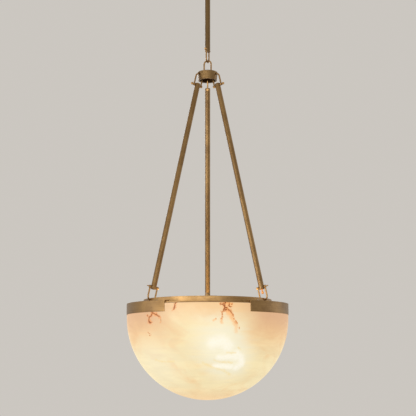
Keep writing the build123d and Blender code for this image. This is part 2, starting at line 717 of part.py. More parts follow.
# ---- The whole pendant -----------------------------------------------------------------------------------


def pendant():
    """Every piece under the name of its node."""
    pieces = {
        "ceiling_strap": ceiling_strap(),
        "ceiling_nipple": ceiling_nipple(),
        "nipple_nuts": nipple_nuts(),
        "canopy": canopy(),
        "canopy_collar": canopy_collar(),
        "swivel_yoke": swivel_yoke(),
        "swivel_pin": swivel_pin(),
        "swivel_tongue": swivel_tongue(),
        "stem_tube": stem_tube(),
        "stem_plug": stem_frame() * end_plug(STEM_DIAMETER, STEM_WALL),
        "stem_shackle": stem_frame() * shackle(),
        "stem_pin": stem_frame() * ball_pin(),
        "hub_bow": hub_bow(),
        "hub_cup": hub_cup(),
        "hoop": hoop(),
        "rim_plate": rim_plate(),
        "clip_screws": clip_screws(),
        "rim_gasket": rim_gasket(),
        "bowl": bowl(),
        "bowl_screws": bowl_screws(),
        "bowl_washers": bowl_washers(),
        "lamp_spider": lamp_spider(),
        "spider_screws": spider_screws(),
        "wiring_cover": wiring_cover(),
        "lead_inlet": lead_inlet(),
        "cover_stud": cover_stud(),
        "cover_finial": cover_finial(),
        "holder_nuts": holder_nuts(),
    }
    for name, heading in ROD_HEADINGS.items():
        frame = rod_frame(heading)
        foot = frame * Pos(0, 0, -ROD_PIN_SPACING)
        pieces[f"upper_shackle_{name}"] = frame * Rot(180, 0, 0) * shackle()
        pieces[f"upper_pin_{name}"] = frame * ball_pin()
        pieces[f"rod_{name}"] = frame * rod()
        pieces[f"rod_plugs_{name}"] = frame * rod_plugs()
        pieces[f"lower_shackle_{name}"] = foot * shackle()
        pieces[f"lower_pin_{name}"] = foot * slim_pin()
        pieces[f"rim_clip_{name}"] = rim_clip(heading)
        pieces[f"lampholder_{name}"] = at_lamp(name, lampholder())
        pieces[f"bulb_cap_{name}"] = at_lamp(name, bulb_cap())
        pieces[f"bulb_glass_{name}"] = at_lamp(name, bulb_glass())
        if name == LEAD_ROD:
            pieces["lead_bushing"] = foot * Pos(0, 0, -END_PAST_PIN) * lead_bushing()
    return pieces


os.makedirs("parts", exist_ok=True)
for node, shape in pendant().items():
    export_step(shape, f"parts/{node}.step")
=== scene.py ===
from math import cos, pi, radians, sin, sqrt

import bmesh
import bpy
from mathutils import Matrix, Vector


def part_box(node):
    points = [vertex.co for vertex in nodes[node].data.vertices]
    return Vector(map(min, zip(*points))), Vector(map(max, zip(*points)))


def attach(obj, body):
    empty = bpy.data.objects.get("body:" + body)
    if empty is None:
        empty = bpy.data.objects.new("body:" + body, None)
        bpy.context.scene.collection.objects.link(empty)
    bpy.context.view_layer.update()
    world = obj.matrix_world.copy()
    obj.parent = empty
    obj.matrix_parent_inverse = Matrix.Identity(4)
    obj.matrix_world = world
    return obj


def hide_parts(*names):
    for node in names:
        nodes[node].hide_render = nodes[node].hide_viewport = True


# Alabaster bowl pendant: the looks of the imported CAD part. Metres, +Z up, origin on the ceiling.

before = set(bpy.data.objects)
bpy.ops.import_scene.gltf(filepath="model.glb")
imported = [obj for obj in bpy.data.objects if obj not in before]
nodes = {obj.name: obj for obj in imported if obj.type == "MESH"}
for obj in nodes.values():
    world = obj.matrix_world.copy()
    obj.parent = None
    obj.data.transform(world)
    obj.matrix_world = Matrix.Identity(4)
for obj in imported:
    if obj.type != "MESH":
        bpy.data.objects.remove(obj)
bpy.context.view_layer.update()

scene = bpy.context.scene
MM = 0.001
HEADINGS = {"back": 90.0, "right": 330.0, "left": 210.0}

# Camera: the photograph's place and tilt, and its focal length in pixels of a frame 416 wide
CAMERA_PLACE = (0.0013, -3.314, -1.3691)
CAMERA_TILT = 8.88
SENSOR_WIDTH = 36.0
FRAME_WIDTH = 416
FOCAL_LENGTH = 1050
VIEW_END = 60.0

# Studio: a pale room. To rays that look, the floor glows in the backdrop's colour, by FLOOR_GLOW near
# the axis and wholly far off, with the change between the two distances of FLOOR_FADE
BACKDROP = (0.60, 0.57, 0.53)
FILL_COLOUR = (1.0, 0.985, 0.96)
FILL_STRENGTH = 0.36
FLOOR_HEIGHT = -2.45
FLOOR_RADIUS = 14.0
FLOOR_PALE = (0.62, 0.59, 0.55)
FLOOR_FADE = (1.6, 5.5)
FLOOR_GLOW = 0.5

# Key panels stand round the left and front at about the bowl's level, each with its heading and power
KEY_PANELS = ((190.0, 2.88), (224.0, 5.52), (258.0, 5.04), (290.0, 1.92))
KEY_DISTANCE = 3.6
KEY_HEIGHT = -1.0
KEY_AIM = (0.0, 0.0, -1.30)
KEY_SIZE = (1.6, 1.2)
KEY_COLOUR = (1.0, 0.975, 0.94)
KEY_SPREAD = 80.0
FULL_SPREAD = 180.0

# The other lamps: name, place, aim, size, power and colour. The last one lights the rods from the bowl
LAMP_MIDDLE = (0.0, 0.0, -0.85)
LAMPS = (
    ("side", (3.2, 0.9, -0.2), LAMP_MIDDLE, (1.8, 1.8), 8.0, (1.0, 0.98, 0.96)),
    ("rear", (-0.8, 3.1, 0.4), LAMP_MIDDLE, (1.6, 1.6), 26.0, (1.0, 0.98, 0.95)),
    ("bulbs", (0.0, 0.0, -1.172), (0.0, 0.0, 0.0), (0.31, 0.31), 1.0, (1.0, 0.74, 0.42)),
)

# Bowl, rods and screws, as in the CAD
BOWL_CENTRE = -1.20213
ROD_LEAN = 13.05
CLIP_SCREW_RADIUS = 233.5 * MM
CLIP_SCREW_TURN = 20.0
BOWL_SCREW_RADIUS = 239.94 * MM
BOWL_SCREW_HEIGHT = -1175.83 * MM
SPIDER_SCREW_RADIUS = 189.0 * MM
SPIDER_SCREW_HEADINGS = (30.0, 150.0, 270.0)
SMALL_SCREW = 4.0 * MM
BOWL_SCREW = 5.0 * MM
BOWL_SCREW_LENGTH = 12.2 * MM

# A screw's head, slot and thread depth, as shares of its thread's diameter
HEAD_RADIUS = 0.95
HEAD_HEIGHT = 0.6
SLOT_WIDTH = 0.22
SLOT_DEPTH = 0.32
SCREW_THREAD_DEPTH = 0.12

# Thread pitches
NIPPLE_PITCH = 1.0 * MM
STUD_PITCH = 1.0 * MM
CAP_PITCH = 3.62 * MM
KNURL_PITCH = 2.42 * MM
SMALL_SCREW_PITCH = 0.7 * MM
BOWL_SCREW_PITCH = 0.8 * MM

# Points closer than these are one: at a turned piece's seam, and in any kept mesh
SEAM_GAP = 1e-6
DOUBLE_GAP = 1e-7


# ---- Laying out nodes ------------------------------------------------------------------------------------


class Sheet:
    """A node tree on which nodes are laid and wired."""

    def __init__(self, tree):
        self.tree = tree

    def lay(self, kind, feeds=None, **settings):
        node = self.tree.nodes.new(kind)
        for name, value in settings.items():
            setattr(node, name, value)
        for socket, value in (feeds or {}).items():
            self.wire(value, node.inputs[socket])
        return node

    def wire(self, value, socket):
        if isinstance(value, bpy.types.NodeSocket):
            self.tree.links.new(value, socket)
        elif hasattr(value, "__len__") and socket.type == "RGBA":
            socket.default_value = (*value[:3], 1.0)
        else:
            socket.default_value = value

    def math(self, operation, *values, clamp=False):
        feeds = dict(enumerate(values))
        return self.lay("ShaderNodeMath", feeds, operation=operation, use_clamp=clamp).outputs[0]

    def plus(self, first, second):
        return self.math("ADD", first, second)

    def minus(self, first, second):
        return self.math("SUBTRACT", first, second)

    def times(self, first, second):
        return self.math("MULTIPLY", first, second)

    def vector(self, operation, *values, **named):
        node = self.lay("ShaderNodeVectorMath", {**dict(enumerate(values)), **named}, operation=operation)
        return node.outputs["Value" if operation in ("LENGTH", "DOT_PRODUCT", "DISTANCE") else "Vector"]

    def ramp(self, value, start, end, low=0.0, high=1.0):
        """A soft step from low to high as value goes from start to end."""
        feeds = {0: value, 1: start, 2: end, 3: low, 4: high}
        return self.lay("ShaderNodeMapRange", feeds, interpolation_type="SMOOTHSTEP").outputs[0]

    def mix(self, factor, first, second):
        """The first colour, with factor of the second in it."""
        feeds = {0: factor, 6: first, 7: second}
        return self.lay("ShaderNodeMix", feeds, data_type="RGBA").outputs[2]

    def noise(self, point, scale, detail=3.0, roughness=0.55, distortion=0.0, colour=False):
        feeds = {"Vector": point, "Scale": scale, "Detail": detail, "Roughness": roughness,
                 "Distortion": distortion}
        return self.lay("ShaderNodeTexNoise", feeds).outputs[1 if colour else 0]

    def parts(self, point):
        return self.lay("ShaderNodeSeparateXYZ", {0: point}).outputs

    def join(self, x, y, z):
        return self.lay("ShaderNodeCombineXYZ", {0: x, 1: y, 2: z}).outputs[0]

    def use(self, group, **feeds):
        node = self.lay("ShaderNodeGroup", node_tree=group)
        for name, value in feeds.items():
            self.wire(value, node.inputs[name.replace("_", " ")])
        return node.outputs


FAR_OFF = 1000.0
SOCKETS = {"point": "NodeSocketVector", "number": "NodeSocketFloat", "count": "NodeSocketInt",
           "shape": "NodeSocketGeometry", "finish": "NodeSocketMaterial", "pattern": "NodeSocketObject"}


def new_group(name, kind, takes, gives):
    """An empty node group with named sockets. Returns its sheet, its inputs and its output node."""
    tree = bpy.data.node_groups.new(name, kind)
    for label, (sort, value) in takes.items():
        socket = tree.interface.new_socket(label, in_out="INPUT", socket_type=SOCKETS[sort])
        if value is not None:
            socket.default_value = value
    for label, sort in gives.items():
        tree.interface.new_socket(label, in_out="OUTPUT", socket_type=SOCKETS[sort])
    sheet = Sheet(tree)
    return sheet, sheet.lay("NodeGroupInput").outputs, sheet.lay("NodeGroupOutput")


# ---- Effects that several finishes share -----------------------------------------------------------------


def make_turned_point():
    """Rolls a point out round the vertical axis, so that tool lines run round a turned piece."""
    takes = {"Point": ("point", None)}
    sheet, takes, gives = new_group("Turned point", "ShaderNodeTree", takes, {"Point": "point"})
    x, y, z = sheet.parts(takes["Point"])
    radius = sheet.vector("LENGTH", sheet.join(x, y, 0.0))
    safe = sheet.math("MAXIMUM", radius, 0.0005)
    round_x = sheet.math("DIVIDE", x, safe)
    round_y = sheet.math("DIVIDE", y, safe)
    depth = sheet.plus(radius, sheet.times(z, 1.31))
    rolled = sheet.join(depth, sheet.times(round_x, 0.1), sheet.times(round_y, 0.1))
    sheet.wire(rolled, gives.inputs["Point"])
    return sheet.tree


def make_tool_lines():
    """Fine lines left by a tool or a die, long where Stretch is small."""
    takes = {"Point": ("point", None), "Stretch": ("point", (2200.0, 60.0, 60.0))}
    results = {"Height": "number", "Shade": "number"}
    sheet, takes, gives = new_group("Tool lines", "ShaderNodeTree", takes, results)
    drawn = sheet.vector("MULTIPLY", takes["Point"], takes["Stretch"])
    fine = sheet.noise(drawn, 1.0, 2.0, 0.6)
    coarse = sheet.noise(sheet.vector("SCALE", drawn, Scale=0.21), 1.0, 3.0, 0.6)
    sheet.wire(fine, gives.inputs["Height"])
    sheet.wire(sheet.ramp(coarse, 0.35, 0.68), gives.inputs["Shade"])
    return sheet.tree


def make_tarnish():
    """Soft clouds of old tarnish and the small dark spots in them."""
    takes = {"Point": ("point", None), "Cloud Scale": ("number", 12.0), "Spot Scale": ("number", 190.0)}
    results = {"Cloud": "number", "Spots": "number"}
    sheet, takes, gives = new_group("Tarnish", "ShaderNodeTree", takes, results)
    cloud = sheet.ramp(sheet.noise(takes["Point"], takes["Cloud Scale"], 5.0, 0.62, 0.7), 0.34, 0.70)
    spots = sheet.ramp(sheet.noise(takes["Point"], takes["Spot Scale"], 3.0, 0.6), 0.60, 0.74)
    sheet.wire(cloud, gives.inputs["Cloud"])
    sheet.wire(sheet.times(spots, sheet.plus(0.35, cloud)), gives.inputs["Spots"])
    return sheet.tree


def make_worn_edges():
    """A mask of the edges that hands and cloths rub bright, and a normal that rounds them."""
    takes = {"Point": ("point", None), "Radius": ("number", 0.001), "Breaks": ("number", 160.0)}
    results = {"Wear": "number", "Normal": "point"}
    sheet, takes, gives = new_group("Worn edges", "ShaderNodeTree", takes, results)
    rounded = sheet.lay("ShaderNodeBevel", {"Radius": takes["Radius"]}, samples=6).outputs[0]
    flat = sheet.lay("ShaderNodeNewGeometry").outputs["Normal"]
    turn = sheet.minus(1.0, sheet.vector("DOT_PRODUCT", rounded, flat))
    broken = sheet.ramp(sheet.noise(takes["Point"], takes["Breaks"], 3.0, 0.6), 0.36, 0.60, 0.25, 1.0)
    sheet.wire(sheet.times(sheet.ramp(turn, 0.006, 0.10), broken), gives.inputs["Wear"])
    sheet.wire(rounded, gives.inputs["Normal"])
    return sheet.tree


def make_settled_dust():
    """Dust that lies on faces that look up."""
    takes = {"Point": ("point", None), "Amount": ("number", 0.3)}
    sheet, takes, gives = new_group("Settled dust", "ShaderNodeTree", takes, {"Dust": "number"})
    up = sheet.parts(sheet.lay("ShaderNodeNewGeometry").outputs["Normal"])[2]
    patchy = sheet.ramp(sheet.noise(takes["Point"], 34.0, 4.0, 0.65), 0.30, 0.75, 0.3, 1.0)
    fall = sheet.times(sheet.ramp(up, 0.45, 0.98), patchy)
    sheet.wire(sheet.times(fall, takes["Amount"]), gives.inputs["Dust"])
    return sheet.tree


def make_vein_reach():
    """How far a point is from one straight run of a vein, in widths of that run, or from a nearer run before.

    The point is handed on through the answer, so that the renderer works a long row out one run at a time.
    """
    takes = {"Point": ("point", None), "Least": ("number", FAR_OFF), "From": ("point", None),
             "To": ("point", None), "Width": ("number", 0.002)}
    results = {"Point": "point", "Least": "number"}
    sheet, takes, gives = new_group("Vein reach", "ShaderNodeTree", takes, results)
    run = sheet.vector("SUBTRACT", takes["To"], takes["From"])
    offset = sheet.vector("SUBTRACT", takes["Point"], takes["From"])
    ahead = sheet.vector("DOT_PRODUCT", offset, run)
    share = sheet.math("DIVIDE", ahead, sheet.vector("DOT_PRODUCT", run, run), clamp=True)
    nearest = sheet.vector("SCALE", run, Scale=share)
    reach = sheet.math("DIVIDE", sheet.vector("DISTANCE", offset, nearest), takes["Width"])
    least = sheet.math("MINIMUM", reach, takes["Least"])
    always = sheet.math("GREATER_THAN", least, -1.0)
    sheet.wire(sheet.vector("SCALE", takes["Point"], Scale=always), gives.inputs["Point"])
    sheet.wire(least, gives.inputs["Least"])
    return sheet.tree


TURNED_POINT = make_turned_point()
TOOL_LINES = make_tool_lines()
TARNISH = make_tarnish()
WORN_EDGES = make_worn_edges()
SETTLED_DUST = make_settled_dust()
VEIN_REACH = make_vein_reach()


# ---- Finishes --------------------------------------------------------------------------------------------


def new_finish(name, **constants):
    """A material with one Principled shader. Returns the material, its sheet and the shader."""
    material = bpy.data.materials.new(name)
    material.use_nodes = True
    material.node_tree.nodes.clear()
    sheet = Sheet(material.node_tree)
    shader = sheet.lay("ShaderNodeBsdfPrincipled")
    for socket, value in constants.items():
        sheet.wire(value, shader.inputs[socket.replace("_", " ")])
    output = sheet.lay("ShaderNodeOutputMaterial")
    sheet.wire(shader.outputs[0], output.inputs["Surface"])
    return material, sheet, shader


def object_point(sheet):
    return sheet.lay("ShaderNodeTexCoord").outputs["Object"]


def raise_grain(sheet, shader, height, distance, strength, normal=None):
    feeds = {"Height": height, "Distance": distance, "Strength": strength}
    bump = sheet.lay("ShaderNodeBump", feeds)
    if normal is not None:
        sheet.wire(normal, bump.inputs["Normal"])
    sheet.wire(bump.outputs[0], shader.inputs["Normal"])


BRASS_BRIGHT = (0.54, 0.345, 0.145)
BRASS_AGED = (0.300, 0.175, 0.062)
BRASS_DARK = (0.205, 0.112, 0.037)
BRASS_SPOT = (0.070, 0.040, 0.020)
DUST = (0.46, 0.42, 0.36)
STEEL_DULL = (0.50, 0.50, 0.48)
STEEL_PALE = (0.62, 0.61, 0.57)
STEEL_STAIN = (0.36, 0.33, 0.27)
STEEL_RUBBED = (0.78, 0.77, 0.74)
GLAZE_CREAM = (0.82, 0.79, 0.72)
GLAZE_WHITE = (0.88, 0.87, 0.82)
GLAZE_CRAZE = (0.42, 0.34, 0.24)
GLAZE_SPECK = (0.35, 0.28, 0.2)
GLASS_BALL = (0.86, 0.735, 0.520)
GLASS_NECK = (0.80, 0.440, 0.190)
GLASS_ETCHED = (0.88, 0.66, 0.42)
GLASS_DARK = (0.24, 0.22, 0.19)
GLASS_PALE = (0.30, 0.285, 0.26)
CAP_DARK = (0.55, 0.54, 0.52)
CAP_BRIGHT = (0.76, 0.75, 0.73)
CAP_CLOUD = (0.40, 0.37, 0.33)
RUBBER_TONES = ((0.016, 0.015, 0.014), (0.035, 0.033, 0.030))
PLASTIC_TONES = ((0.012, 0.011, 0.010), (0.030, 0.027, 0.024))
AMBER_TONES = ((0.40, 0.14, 0.03), (0.60, 0.25, 0.06))
AMBER_GLOWS = ((0.80, 0.26, 0.04), (1.0, 0.44, 0.09))

# How close tool lines lie along each axis: close across them, wide along them
TURNED_STRETCH = (2300.0, 60.0, 60.0)
DRAWN_STRETCH = (1500.0, 1500.0, 22.0)
ROLLED_STRETCH = (2600.0, 90.0, 90.0)


def brass(name, heading=None, lean=0.0, tone=1.0, dust=0.0, shine=0.40):
    """Aged brass, turned about the vertical axis, or drawn along a bar that leans out at a heading.

    A tone over 1 paints the metal paler, as painted light, and one under 1 darker, as painted shade.
    """
    material, sheet, shader = new_finish(name, Metallic=1.0, Coat_Weight=0.35, Coat_Roughness=0.32)
    point = object_point(sheet)
    if heading is None:
        laid = sheet.use(TURNED_POINT, Point=point)["Point"]
        lines = sheet.use(TOOL_LINES, Point=laid, Stretch=TURNED_STRETCH)
    else:
        angle = radians(heading)
        feeds = {"Vector": point, "Axis": (-sin(angle), cos(angle), 0.0), "Angle": radians(lean)}
        laid = sheet.lay("ShaderNodeVectorRotate", feeds, rotation_type="AXIS_ANGLE").outputs[0]
        lines = sheet.use(TOOL_LINES, Point=laid, Stretch=DRAWN_STRETCH)
    tarnish = sheet.use(TARNISH, Point=point)
    wear = sheet.use(WORN_EDGES, Point=point, Radius=0.0011)
    bright, old, dark = ([c * tone for c in colour] for colour in (BRASS_BRIGHT, BRASS_AGED, BRASS_DARK))
    aged = sheet.mix(tarnish["Cloud"], old, dark)
    streaked = sheet.mix(sheet.times(lines["Shade"], 0.24), aged, bright)
    spotted = sheet.mix(sheet.times(tarnish["Spots"], 0.30), streaked, BRASS_SPOT)
    rubbed = sheet.mix(sheet.times(wear["Wear"], 0.8), spotted, BRASS_BRIGHT)
    rough = sheet.plus(shine, sheet.times(tarnish["Cloud"], 0.10))
    rough = sheet.plus(rough, sheet.times(tarnish["Spots"], 0.12))
    rough = sheet.minus(rough, sheet.times(wear["Wear"], 0.10))
    if dust:
        lying = sheet.use(SETTLED_DUST, Point=point, Amount=dust)["Dust"]
        rubbed = sheet.mix(lying, rubbed, DUST)
        rough = sheet.plus(rough, sheet.times(lying, 0.4))
        sheet.wire(sheet.minus(1.0, lying), shader.inputs["Metallic"])
    sheet.wire(rubbed, shader.inputs["Base Color"])
    sheet.wire(rough, shader.inputs["Roughness"])
    height = sheet.plus(lines["Height"], sheet.times(tarnish["Spots"], -0.6))
    raise_grain(sheet, shader, height, 0.00003, 0.22, wear["Normal"])
    return material


def zinc_steel():
    """Plated steel: small dull spangles, and bright rubbed edges."""
    material, sheet, shader = new_finish("plated steel", Metallic=1.0)
    point = object_point(sheet)
    cells = sheet.lay("ShaderNodeTexVoronoi", {"Vector": point, "Scale": 420.0})
    spangle = sheet.parts(cells.outputs["Color"])[0]
    tarnish = sheet.use(TARNISH, Point=point, Cloud_Scale=60.0, Spot_Scale=700.0)
    wear = sheet.use(WORN_EDGES, Point=point, Radius=0.0006, Breaks=500.0)
    plate = sheet.mix(spangle, STEEL_DULL, STEEL_PALE)
    stained = sheet.mix(sheet.times(tarnish["Cloud"], 0.5), plate, STEEL_STAIN)
    sheet.wire(sheet.mix(wear["Wear"], stained, STEEL_RUBBED), shader.inputs["Base Color"])
    rough = sheet.plus(0.30, sheet.times(tarnish["Cloud"], 0.2))
    sheet.wire(rough, shader.inputs["Roughness"])
    raise_grain(sheet, shader, spangle, 0.00002, 0.3, wear["Normal"])
    return material


def porcelain():
    """White glazed porcelain with a faint orange-peel skin and fine crazing."""
    material, sheet, shader = new_finish("glazed porcelain", Coat_Weight=0.6, Coat_Roughness=0.05)
    point = object_point(sheet)
    cells = sheet.lay("ShaderNodeTexVoronoi", {"Vector": point, "Scale": 170.0}, feature="DISTANCE_TO_EDGE")
    craze = sheet.ramp(cells.outputs["Distance"], 0.0, 0.02, 1.0, 0.0)
    cloud = sheet.noise(point, 45.0, 4.0, 0.6)
    glaze = sheet.mix(cloud, GLAZE_CREAM, GLAZE_WHITE)
    glaze = sheet.mix(sheet.times(craze, 0.22), glaze, GLAZE_CRAZE)
    speck = sheet.ramp(sheet.noise(point, 900.0, 1.0), 0.70, 0.76)
    glaze = sheet.mix(sheet.times(speck, 0.5), glaze, GLAZE_SPECK)
    sheet.wire(glaze, shader.inputs["Base Color"])
    sheet.wire(sheet.ramp(cloud, 0.3, 0.7, 0.12, 0.24), shader.inputs["Roughness"])
    wear = sheet.use(WORN_EDGES, Point=point, Radius=0.0009)
    raise_grain(sheet, shader, sheet.noise(point, 260.0, 2.0), 0.00008, 0.25, wear["Normal"])
    return material


def bulb_glass():
    """Lit frosted glass, warmer at the neck than at the ball."""
    material, sheet, shader = new_finish("lit frosted glass", Emission_Strength=1.25, IOR=1.5)
    point = object_point(sheet)
    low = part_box("bulb_glass_back")[0].z
    height = sheet.parts(point)[2]
    rise = sheet.ramp(height, low + 0.035, low + 0.085)
    etch = sheet.noise(point, 1400.0, 2.0)
    glow = sheet.mix(rise, GLASS_BALL, GLASS_NECK)
    glow = sheet.mix(sheet.ramp(etch, 0.3, 0.7, 0.0, 0.10), glow, GLASS_ETCHED)
    sheet.wire(glow, shader.inputs["Emission Color"])
    sheet.wire(sheet.mix(etch, GLASS_DARK, GLASS_PALE), shader.inputs["Base Color"])
    sheet.wire(sheet.ramp(etch, 0.3, 0.7, 0.42, 0.58), shader.inputs["Roughness"])
    raise_grain(sheet, shader, etch, 0.00003, 0.4)
    return material


def cap_metal():
    """Thin rolled aluminium, scuffed along its thread."""
    material, sheet, shader = new_finish("rolled aluminium", Metallic=1.0)
    point = object_point(sheet)
    laid = sheet.use(TURNED_POINT, Point=point)["Point"]
    lines = sheet.use(TOOL_LINES, Point=laid, Stretch=ROLLED_STRETCH)
    cloud = sheet.noise(point, 120.0, 4.0, 0.6)
    tone = sheet.mix(lines["Shade"], CAP_DARK, CAP_BRIGHT)
    sheet.wire(sheet.mix(sheet.ramp(cloud, 0.5, 0.8), tone, CAP_CLOUD), shader.inputs["Base Color"])
    sheet.wire(sheet.ramp(cloud, 0.3, 0.7, 0.22, 0.42), shader.inputs["Roughness"])
    raise_grain(sheet, shader, lines["Height"], 0.00003, 0.3)
    return material


def moulded(name, tones, rough, grain, **constants):
    """Moulded rubber or plastic: slight clouding, a fine matt skin and softened edges."""
    material, sheet, shader = new_finish(name, **constants)
    point = object_point(sheet)
    cloud = sheet.noise(point, 90.0, 4.0, 0.6)
    skin = sheet.noise(point, 2400.0, 2.0)
    wear = sheet.use(WORN_EDGES, Point=point, Radius=0.0006, Breaks=400.0)
    tone = sheet.mix(sheet.ramp(cloud, 0.3, 0.7), *tones)
    rubbed = sheet.mix(sheet.times(wear["Wear"], 0.35), tone, [min(1.0, 1.7 * c) for c in tones[1]])
    sheet.wire(rubbed, shader.inputs["Base Color"])
    sheet.wire(sheet.ramp(cloud, 0.3, 0.7, rough - 0.06, rough + 0.08), shader.inputs["Roughness"])
    raise_grain(sheet, shader, skin, grain, 0.4, wear["Normal"])
    return material, sheet, shader


def amber_bushing():
    """Amber plastic that the lamp's light comes through, that light painted in as a glow in its emission."""
    material, sheet, shader = moulded("amber plastic", AMBER_TONES, 0.3, 0.00002, Emission_Strength=0.45)
    swirl = sheet.noise(object_point(sheet), 150.0, 3.0)
    glow = sheet.mix(sheet.ramp(swirl, 0.3, 0.7), *AMBER_GLOWS)
    sheet.wire(glow, shader.inputs["Emission Color"])
    return material


# ---- Lit alabaster ---------------------------------------------------------------------------------------

# Runs of the rust veins: half width in millimetres, then headings and heights over the bowl's centre
RUST_VEINS = (
    (3.0, (281.3, 38.5), (281.4, 33.0)),
    (2.2, (281.4, 33.0), (281.6, 22.0)),
    (2.4, (279.0, 31.0), (280.4, 27.0), (281.6, 19.5)),
    (1.4, (284.4, 34.0), (284.2, 25.0), (285.8, 21.5)),
    (1.2, (287.2, 33.0), (285.8, 28.0)),
    (3.0, (280.8, 15.0), (282.0, 18.5), (283.4, 17.0), (284.8, 11.0)),
    (2.6, (281.9, 11.5), (283.2, 12.0)),
    (2.0, (280.6, 13.0), (279.7, 5.5)),
    (1.2, (279.7, 5.5), (279.6, -6.5)),
    (2.0, (279.6, -6.5), (279.0, -13.5)),
    (1.0, (275.4, -13.0), (276.0, -14.0)),
    (1.9, (284.8, 11.0), (286.5, 1.5), (287.5, -9.0)),
    (1.2, (287.5, -9.0), (288.0, -17.5)),
    (1.6, (289.1, -20.5), (290.0, -27.0)),
    (1.0, (291.9, -37.0), (292.2, -41.0)),
    (2.8, (228.8, 10.5), (231.4, 3.5), (234.0, -2.2), (236.2, -6.6)),
    (3.0, (229.6, 8.0), (228.9, -0.5)),
    (2.2, (228.9, -0.5), (226.8, -7.0), (226.3, -15.0)),
    (2.8, (226.3, -15.0), (226.4, -19.4), (228.0, -23.1)),
    (1.9, (224.9, -1.0), (225.3, -3.5)),
    (0.9, (224.5, -49.4), (227.0, -57.0), (225.2, -60.0)),
    (1.0, (236.9, -11.3), (236.7, -23.0)),
    (1.7, (248.9, 39.0), (248.1, 30.0)),
    (2.2, (247.7, 26.0), (246.7, 13.6)),
    (2.4, (52.0, 36.0), (49.5, 16.0), (51.5, -6.0), (47.0, -28.0)),
    (1.7, (49.5, 16.0), (44.0, 2.0), (42.5, -14.0)),
    (2.1, (141.0, 34.0), (143.5, 12.0), (140.0, -10.0)),
    (1.6, (2.0, 10.0), (5.5, -12.0), (3.5, -38.0)),
)
# Soft rust that has soaked into the stone beside them
RUST_WASHES = (
    (9.0, (281.8, 20.0), (283.6, 11.0)),
    (9.5, (283.8, 6.0), (285.6, -6.0), (287.2, -18.0)),
    (9.0, (288.2, -24.0), (289.9, -38.0), (289.7, -50.0)),
    (6.0, (279.0, -15.0), (279.6, -26.0)),
    (4.5, (275.6, -15.0), (273.8, -19.0)),
    (6.5, (281.5, 33.0), (286.0, 29.0)),
    (6.0, (229.0, 6.0), (233.5, -2.0)),
    (5.0, (226.5, -14.0), (227.0, -21.0)),
    (8.0, (50.5, 8.0), (49.0, -20.0)),
)
# Yellow lines deeper in the stone
DEEP_LINES = (
    (3.2, (284.1, -110.9), (288.0, -112.5), (291.1, -110.1)),
    (3.4, (292.5, -96.3), (294.5, -103.1)),
    (3.6, (275.0, -132.8), (280.7, -136.8), (289.9, -139.6)),
    (4.6, (266.4, -140.8), (274.6, -153.8), (284.5, -162.8), (291.2, -174.1)),
    (3.4, (224.3, -131.5), (232.7, -136.4), (242.0, -135.4)),
    (3.6, (95.0, -96.0), (108.0, -104.0), (118.0, -101.0)),
    (3.4, (160.0, -120.0), (171.0, -128.0)),
)
# Clear crystal that lets the lamps through almost white, that light painted into the emission
CLEAR_PATCHES = (
    (15.0, (273.8, -83.6), (280.1, -77.7), (284.6, -91.9)),
    (8.0, (278.7, -125.3), (286.5, -122.9), (293.9, -123.9)),
    (7.0, (276.1, -149.5), (283.7, -150.3), (289.9, -151.7)),
    (10.0, (291.7, -114.2), (296.5, -124.7), (298.3, -143.5), (294.7, -153.7)),
    (9.0, (100.0, -112.0), (112.0, -118.0)),
)
# Painted light: pools where the lamps glow through, painted into the emission. Place from the bowl's centre
# and reach in millimetres, and strength
GLOWS = (
    ((36.0, -237.0, -80.0), 118.0, 0.95),
    ((66.0, -205.0, -132.0), 108.0, 0.95),
    ((-150.0, -150.0, -140.0), 130.0, 0.40),
    ((-226.0, 60.0, -96.0), 125.0, 0.75),
    ((95.0, 208.0, -106.0), 130.0, 0.85),
)
STONE_RADIUS = 253.0
# The lit stone and rust colours go into the emission, as painted light through the stone, the shade one as
# painted shade under the clips; the unlit ones are the dark base colour under that light
STONE_CREAM = (0.78, 0.660, 0.385)
STONE_PEACH = (0.76, 0.480, 0.225)
STONE_SHADE = (0.57, 0.305, 0.160)
STONE_GLOW = (0.80, 0.760, 0.575)
STONE_YELLOW = (0.78, 0.585, 0.235)
STONE_CLEAR = (0.88, 0.855, 0.740)
STONE_UNLIT = (0.205, 0.170, 0.124)
RUST_WASH = (0.82, 0.385, 0.120)
RUST_STAIN = (0.68, 0.230, 0.050)
RUST_CORE = (0.200, 0.036, 0.000)
UNLIT_YELLOW = (0.25, 0.20, 0.12)
UNLIT_WASH = (0.26, 0.16, 0.08)
UNLIT_STAIN = (0.19, 0.075, 0.025)
UNLIT_CORE = (0.055, 0.014, 0.005)
HAIR_SHIFT = (0.7, 0.2, 0.4)


def on_stone(heading, height):
    """A point on the bowl's outside, in metres from its centre. The height given is in millimetres."""
    level = sqrt(STONE_RADIUS**2 - min(height, 0.0) ** 2)
    angle = radians(heading)
    return (level * cos(angle) * MM, level * sin(angle) * MM, height * MM)


def nearest_vein(sheet, point, lines):
    """The least reach to any run in a table of lines, and the point handed on."""
    least = FAR_OFF
    for width, *places in lines:
        for start, end in zip(places, places[1:]):
            feeds = {"From": on_stone(*start), "To": on_stone(*end), "Width": width * MM}
            point, least = sheet.use(VEIN_REACH, Point=point, Least=least, **feeds)
    return least, point


